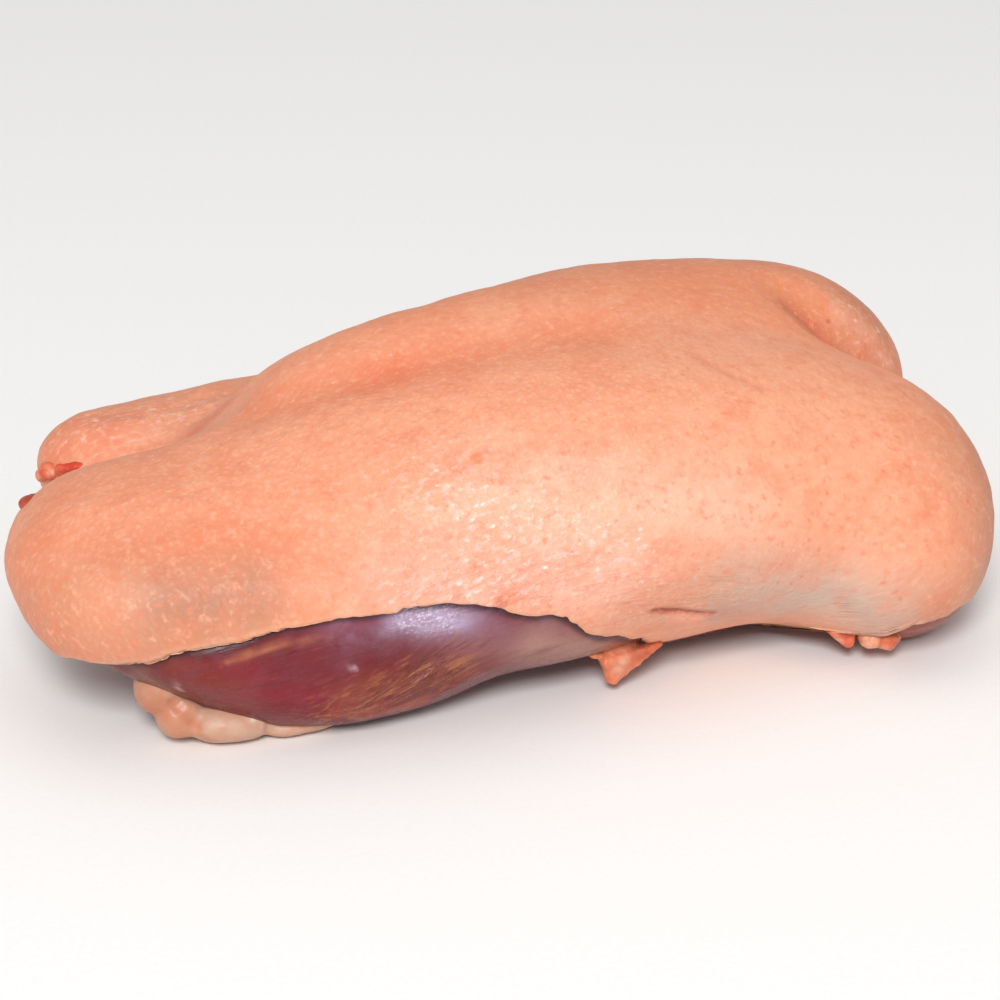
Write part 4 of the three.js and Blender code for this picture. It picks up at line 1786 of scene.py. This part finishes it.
@dataclass
class Trimming:
    """A small irregular piece of fat or flesh, made of masses that are grown together."""

    name: str
    node: str
    slot: str
    masses: tuple[Mass, ...]
    finish: FatFinish
    ground: Colour
    seed: int
    wedge: tuple[Mass, ...] = ()
    patches: tuple[Patch, ...] = ()
    creases: tuple[Stroke, ...] = ()
    crease_depth: float = 0.9
    lump: float = 3.0
    unevenness: float = 0.8
    voxel: float = 0.45
    smoothing: int = 6
    softness: float = 0.6
    ball_points: int = 400
    clearance: float = 0.1

    def build(self) -> bpy.types.Object:
        """Joins the masses, softens their seams, and makes the surface uneven."""
        shape = bmesh.new()
        for mass in self.masses:
            self.wrap(shape, (mass,))
        if self.wedge:
            self.wrap(shape, self.wedge)
        made = bpy.data.meshes.new(self.name)
        shape.to_mesh(made)
        shape.free()
        piece = put(self.name, made)
        soften(piece, self.voxel, self.smoothing, self.softness)
        places = places_of(piece)
        lumps = self.unevenness * (Lumps(self.seed, self.lump, layers=3).at(places) - 0.3)
        for crease in self.creases:
            lumps = lumps - self.crease_depth * crease.cover(places)
        shift(piece, lumps)
        self.rest_on_table(piece)
        painting = Painting(places, self.ground)
        painting.touch(self.patches, 0.35, self.seed + 100)
        paint(piece, "tint", painting.colours)
        coat(piece, self.finish.build())
        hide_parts(self.node)
        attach(piece, BODY)
        return piece

    def wrap(self, shape: bmesh.types.BMesh, masses: tuple[Mass, ...]) -> None:
        """Adds a skin that is drawn tight round some masses.

        Args:
            shape: the mesh that it is added to.
            masses: what it is drawn round.
        """
        count = self.ball_points
        height = 1 - 2 * (np.arange(count) + 0.5) / count
        turn = np.arange(count) * math.pi * (3 - math.sqrt(5))
        flat = np.sqrt(1 - height**2)
        ball = np.stack([flat * np.cos(turn), flat * np.sin(turn), height], axis=1)
        corners = [
            shape.verts.new(place)
            for mass in masses
            for place in to_frame(np.array(mass.centre) + ball * np.array(mass.radii)).tolist()
        ]
        wrapped = bmesh.ops.convex_hull(shape, input=corners)
        bmesh.ops.delete(shape, geom=wrapped["geom_interior"], context="VERTS")

    def rest_on_table(self, piece: bpy.types.Object) -> None:
        """Flattens whatever would go below the table.

        Args:
            piece: the piece, whose mesh is changed.
        """
        lowest = self.clearance * MILLIMETRE
        for vertex in piece.data.vertices:
            vertex.co.z = max(vertex.co.z, lowest)


class FatKind(Enum):
    """The fats and loose flesh on the breast."""

    PALE = FatFinish("pale_fat", (222, 188, 166), (196, 122, 90), 3.0, 0.38, 0.25)
    ORANGE = FatFinish("orange_fat", (232, 158, 124), (160, 62, 38), 1.8, 0.26, 0.28)
    RED = FatFinish("red_flesh", (232, 130, 96), (140, 36, 24), 1.3, 0.36, 0.32)


TRIMMINGS = (
    Trimming(
        "flank_fold", "flank_fat", "pale_fat",
        (
            Mass((-101, -49, 14.5), (6.4, 7.0, 7.2)), Mass((-96.5, -51.8, 7.6), (6.4, 6.2, 6.2)),
            Mass((-84, -54, 5.5), (12.6, 7.2, 5.5)), Mass((-68, -54, 2.9), (11.8, 6.2, 3.0)),
        ),
        FatKind.PALE.value, (196, 150, 124), 71,
        patches=(
            Patch(Stroke(((-104, -53, 16), (-103, -54, 11)), 5.0), (186, 114, 80), 0.85),
            Patch(Stroke(((-97, -57, 8), (-96, -57, 4)), 4.0), (204, 128, 94), 0.75),
            Patch(Stroke(((-99, -55, 13), (-94.5, -57.5, 8), (-92, -58, 3)), 1.0), (200, 110, 70), 0.6),
            # Painted shade: a dark line in the small crease.
            Patch(Stroke(((-76, -59.5, 7), (-75.5, -60, 3)), 0.7), (120, 64, 52), 0.8),
            Patch(Stroke(((-84, -61, 7), (-72, -60, 4)), 7.0), (206, 168, 144), 0.7),
            # Painted highlight: a small white glint.
            Patch(Stroke(((-80, -60.5, 8.4),), 0.8), (252, 246, 240), 0.7),
        ),
        creases=(
            Stroke(((-99, -55, 13), (-94.5, -57.5, 8), (-92, -58, 3)), 1.6),
            Stroke(((-76, -59.5, 7), (-75.5, -60, 3)), 1.0),
        ),
        crease_depth=0.7, lump=6.0, unevenness=0.28, voxel=0.6,
    ),
    Trimming(
        "fat_drop", "fat_tag", "raw_fat",
        (Mass((15.0, -54.5, 13.0), (6.0, 3.4, 3.0)), Mass((8.4, -56.6, 11.4), (1.8, 1.4, 1.0))),
        FatKind.ORANGE.value, (220, 126, 90), 72,
        wedge=(
            Mass((11.4, -57.0, 10.0), (1.8, 2.4, 1.6)), Mass((12.8, -57.4, 4.2), (1.7, 2.0, 1.6)),
            Mass((24.8, -56.4, 12.0), (1.6, 1.8, 1.1)),
        ),
        patches=(
            Patch(Stroke(((15.5, -59.4, 9.6), (14.6, -59.4, 8.2)), 1.9), (224, 168, 140), 0.9),
            Patch(Stroke(((20, -58.6, 10.4), (25, -57.6, 12)), 2.0), (196, 90, 56), 0.8),
            # Painted shade: dark in the recess between the skin and the fat.
            Patch(Stroke(((12, -57, 14), (17, -57, 14), (23, -56.5, 13.4)), 1.6), (100, 38, 28), 0.85),
            Patch(Stroke(((12, -59.2, 4.2),), 1.4), (236, 130, 78), 0.8),
        ),
        lump=2.4, unevenness=0.35, voxel=0.35, smoothing=4,
    ),
    Trimming(
        "neck_bit", "neck_tag_a", "raw_fat", (Mass((73.6, -56.6, 9.6), (2.4, 2.6, 1.8)),),
        FatKind.ORANGE.value, (212, 98, 60), 73,
        wedge=(
            Mass((72.0, -57.0, 9.4), (1.2, 2.4, 1.1)), Mass((77.4, -57.6, 9.6), (1.3, 2.6, 1.2)),
            Mass((76.2, -58.0, 6.0), (1.7, 2.6, 1.4)),
        ),
        patches=(
            Patch(Stroke(((75.5, -60, 10),), 1.6), (184, 52, 30), 0.9),
            Patch(Stroke(((73, -59.4, 7.4),), 1.4), (236, 170, 140), 0.7),
        ),
        lump=2.2, unevenness=0.3, voxel=0.3, smoothing=3,
    ),
    Trimming(
        "neck_scrap", "neck_tag_b", "raw_fat",
        (Mass((81.6, -60, 7.6), (3.2, 4.0, 3.2)), Mass((85.8, -60.2, 7.0), (3.8, 4.0, 3.1))),
        FatKind.ORANGE.value, (228, 158, 126), 74,
        patches=(
            Patch(Stroke(((83.5, -63.6, 7.6), (87.5, -63, 7.2)), 1.7), (212, 80, 42), 0.9),
            Patch(Stroke(((80, -63.4, 7),), 2.0), (234, 176, 148), 0.7),
        ),
        lump=2.4, unevenness=0.3, voxel=0.3, smoothing=4,
    ),
    Trimming(
        "tail_flesh_bit", "tail_flesh", "raw_flesh",
        (
            Mass((-114.2, 29.2, 39.8), (2.9, 3.2, 2.5)), Mass((-115.8, 31.0, 38.2), (1.9, 2.2, 1.9)),
        ),
        FatKind.RED.value, (206, 54, 28), 75,
        wedge=(
            Mass((-111.8, 25.8, 41.4), (1.6, 1.6, 1.9)), Mass((-108.4, 24.2, 42.4), (1.6, 1.4, 1.4)),
            Mass((-103.6, 22.0, 43.6), (1.0, 1.0, 0.6)),
        ),
        patches=(
            Patch(Stroke(((-114.0, 28.0, 40.2), (-116.4, 31.4, 37.8)), 2.8), (238, 150, 108), 1.0),
            Patch(Stroke(((-113.8, 27.0, 40.2),), 1.1), (244, 206, 174), 0.8),
        ),
        lump=2.4, unevenness=0.25, voxel=0.3, smoothing=4,
    ),
    Trimming(
        "tail_rim_scrap", "tail_scrap", "raw_flesh",
        (Mass((-123.9, -4.8, 47.0), (3.0, 2.8, 2.3)), Mass((-122.4, -3.6, 47.2), (2.6, 2.4, 2.0))),
        FatKind.RED.value, (168, 64, 38), 76,
        lump=2.4, unevenness=0.25, voxel=0.3, smoothing=4,
    ),
)


# The studio


@dataclass
class Studio:
    """The pale floor, the soft lights and the camera at the photographer's place."""

    azimuth: float = -16.0
    elevation: float = 25.0
    distance: float = 900.0
    target: Point = (0.0, 0.0, 30.0)
    focal_pixels: float = 3420.0
    image_pixels: float = 1000.0
    sensor: float = 36.0
    camera_sees: tuple[float, float] = (0.01, 20.0)  # nearest and farthest, in metres
    floor_half: float = 4.0
    floor_colour: Colour = (250, 250, 249)
    floor_grain: Colour = (248, 248, 247)
    key_azimuth: float = -20.0
    key_elevation: float = 40.0
    key_distance: float = 2.6
    key_size: float = 0.75
    key_power: float = 47.0
    top_place: Point = (0.0, 0.25, 1.6)
    top_size: float = 1.2
    top_power: float = 2.0
    world_colour: tuple[float, float, float, float] = (1.0, 0.99, 0.98, 1.0)
    world_strength: float = 0.5

    def out_from(self, azimuth: float, elevation: float) -> Vector:
        """Direction from the breast to a place round it; azimuth 0 is straight in front."""
        turn, rise = math.radians(azimuth), math.radians(elevation)
        return Vector((math.sin(turn) * math.cos(rise), -math.cos(turn) * math.cos(rise), math.sin(rise)))

    def lay_floor(self) -> None:
        """Lays the floor that the breast stands on."""
        half = self.floor_half
        made = bpy.data.meshes.new("studio_floor")
        corners = [(-half, -half, 0), (half, -half, 0), (half, half, 0), (-half, half, 0)]
        made.from_pydata(corners, [], [(0, 1, 2, 3)])
        board = Board("floor_paper")
        grain = board.noise(board.space(), 1.5, 2.0)
        shade = board.mix(board.between(grain, 0.3, 0.7), self.floor_colour, self.floor_grain)
        made.materials.append(board.shader(Base_Color=shade, Roughness=0.7, Specular_IOR_Level=0.2))
        floor = put("studio_floor", made)

    def hang_light(self, name: str, place: Vector, size: float, power: float) -> None:
        """Hangs a square soft light that looks at the breast.

        Args:
            name: the light's name.
            place: where it hangs from the breast's middle, in metres.
            size: the length of its side.
            power: its power in watts.
        """
        light = bpy.data.lights.new(name, "AREA")
        light.size = size
        light.energy = power
        lamp = put(name, light)
        middle = Vector(to_frame(np.array(self.target)))
        lamp.location = middle + place
        lamp.rotation_mode = "QUATERNION"
        lamp.rotation_quaternion = (-place).to_track_quat("-Z", "Y")

    def light(self) -> None:
        """Sets the pale surroundings, the light by the camera and the one overhead."""
        world = bpy.data.worlds.new("studio")
        world.use_nodes = True
        surroundings = world.node_tree.nodes["Background"]
        surroundings.inputs["Color"].default_value = self.world_colour
        surroundings.inputs["Strength"].default_value = self.world_strength
        bpy.context.scene.world = world
        key = self.out_from(self.key_azimuth, self.key_elevation) * self.key_distance
        self.hang_light("key_light", key, self.key_size, self.key_power)
        self.hang_light("top_light", Vector(self.top_place), self.top_size, self.top_power)

    def place_camera(self) -> None:
        """Puts the camera where the photograph was taken from."""
        camera = bpy.data.cameras.new("camera")
        camera.sensor_width = self.sensor
        camera.lens = self.focal_pixels * self.sensor / self.image_pixels
        camera.clip_start, camera.clip_end = self.camera_sees
        holder = put("camera", camera)
        back = self.out_from(self.azimuth, self.elevation)
        middle = Vector(to_frame(np.array(self.target)))
        holder.location = middle + back * self.distance * MILLIMETRE
        holder.rotation_mode = "QUATERNION"
        holder.rotation_quaternion = (-back).to_track_quat("-Z", "Y")
        bpy.context.scene.camera = holder

    def build(self) -> None:
        """Sets the whole studio up."""
        self.lay_floor()
        self.light()
        self.place_camera()
        bpy.context.scene.view_settings.view_transform = "Standard"


def main() -> None:
    """Builds the studio and each piece of the breast in order, and reports them."""
    logging.basicConfig(level=logging.INFO, format="%(name)s: %(message)s")
    Studio().build()
    form = BreastForm()
    for maker in (Skin(form), Meat(form), Breastbone(), *TRIMMINGS):
        report(maker.build())


if __name__ == "__main__":
    main()
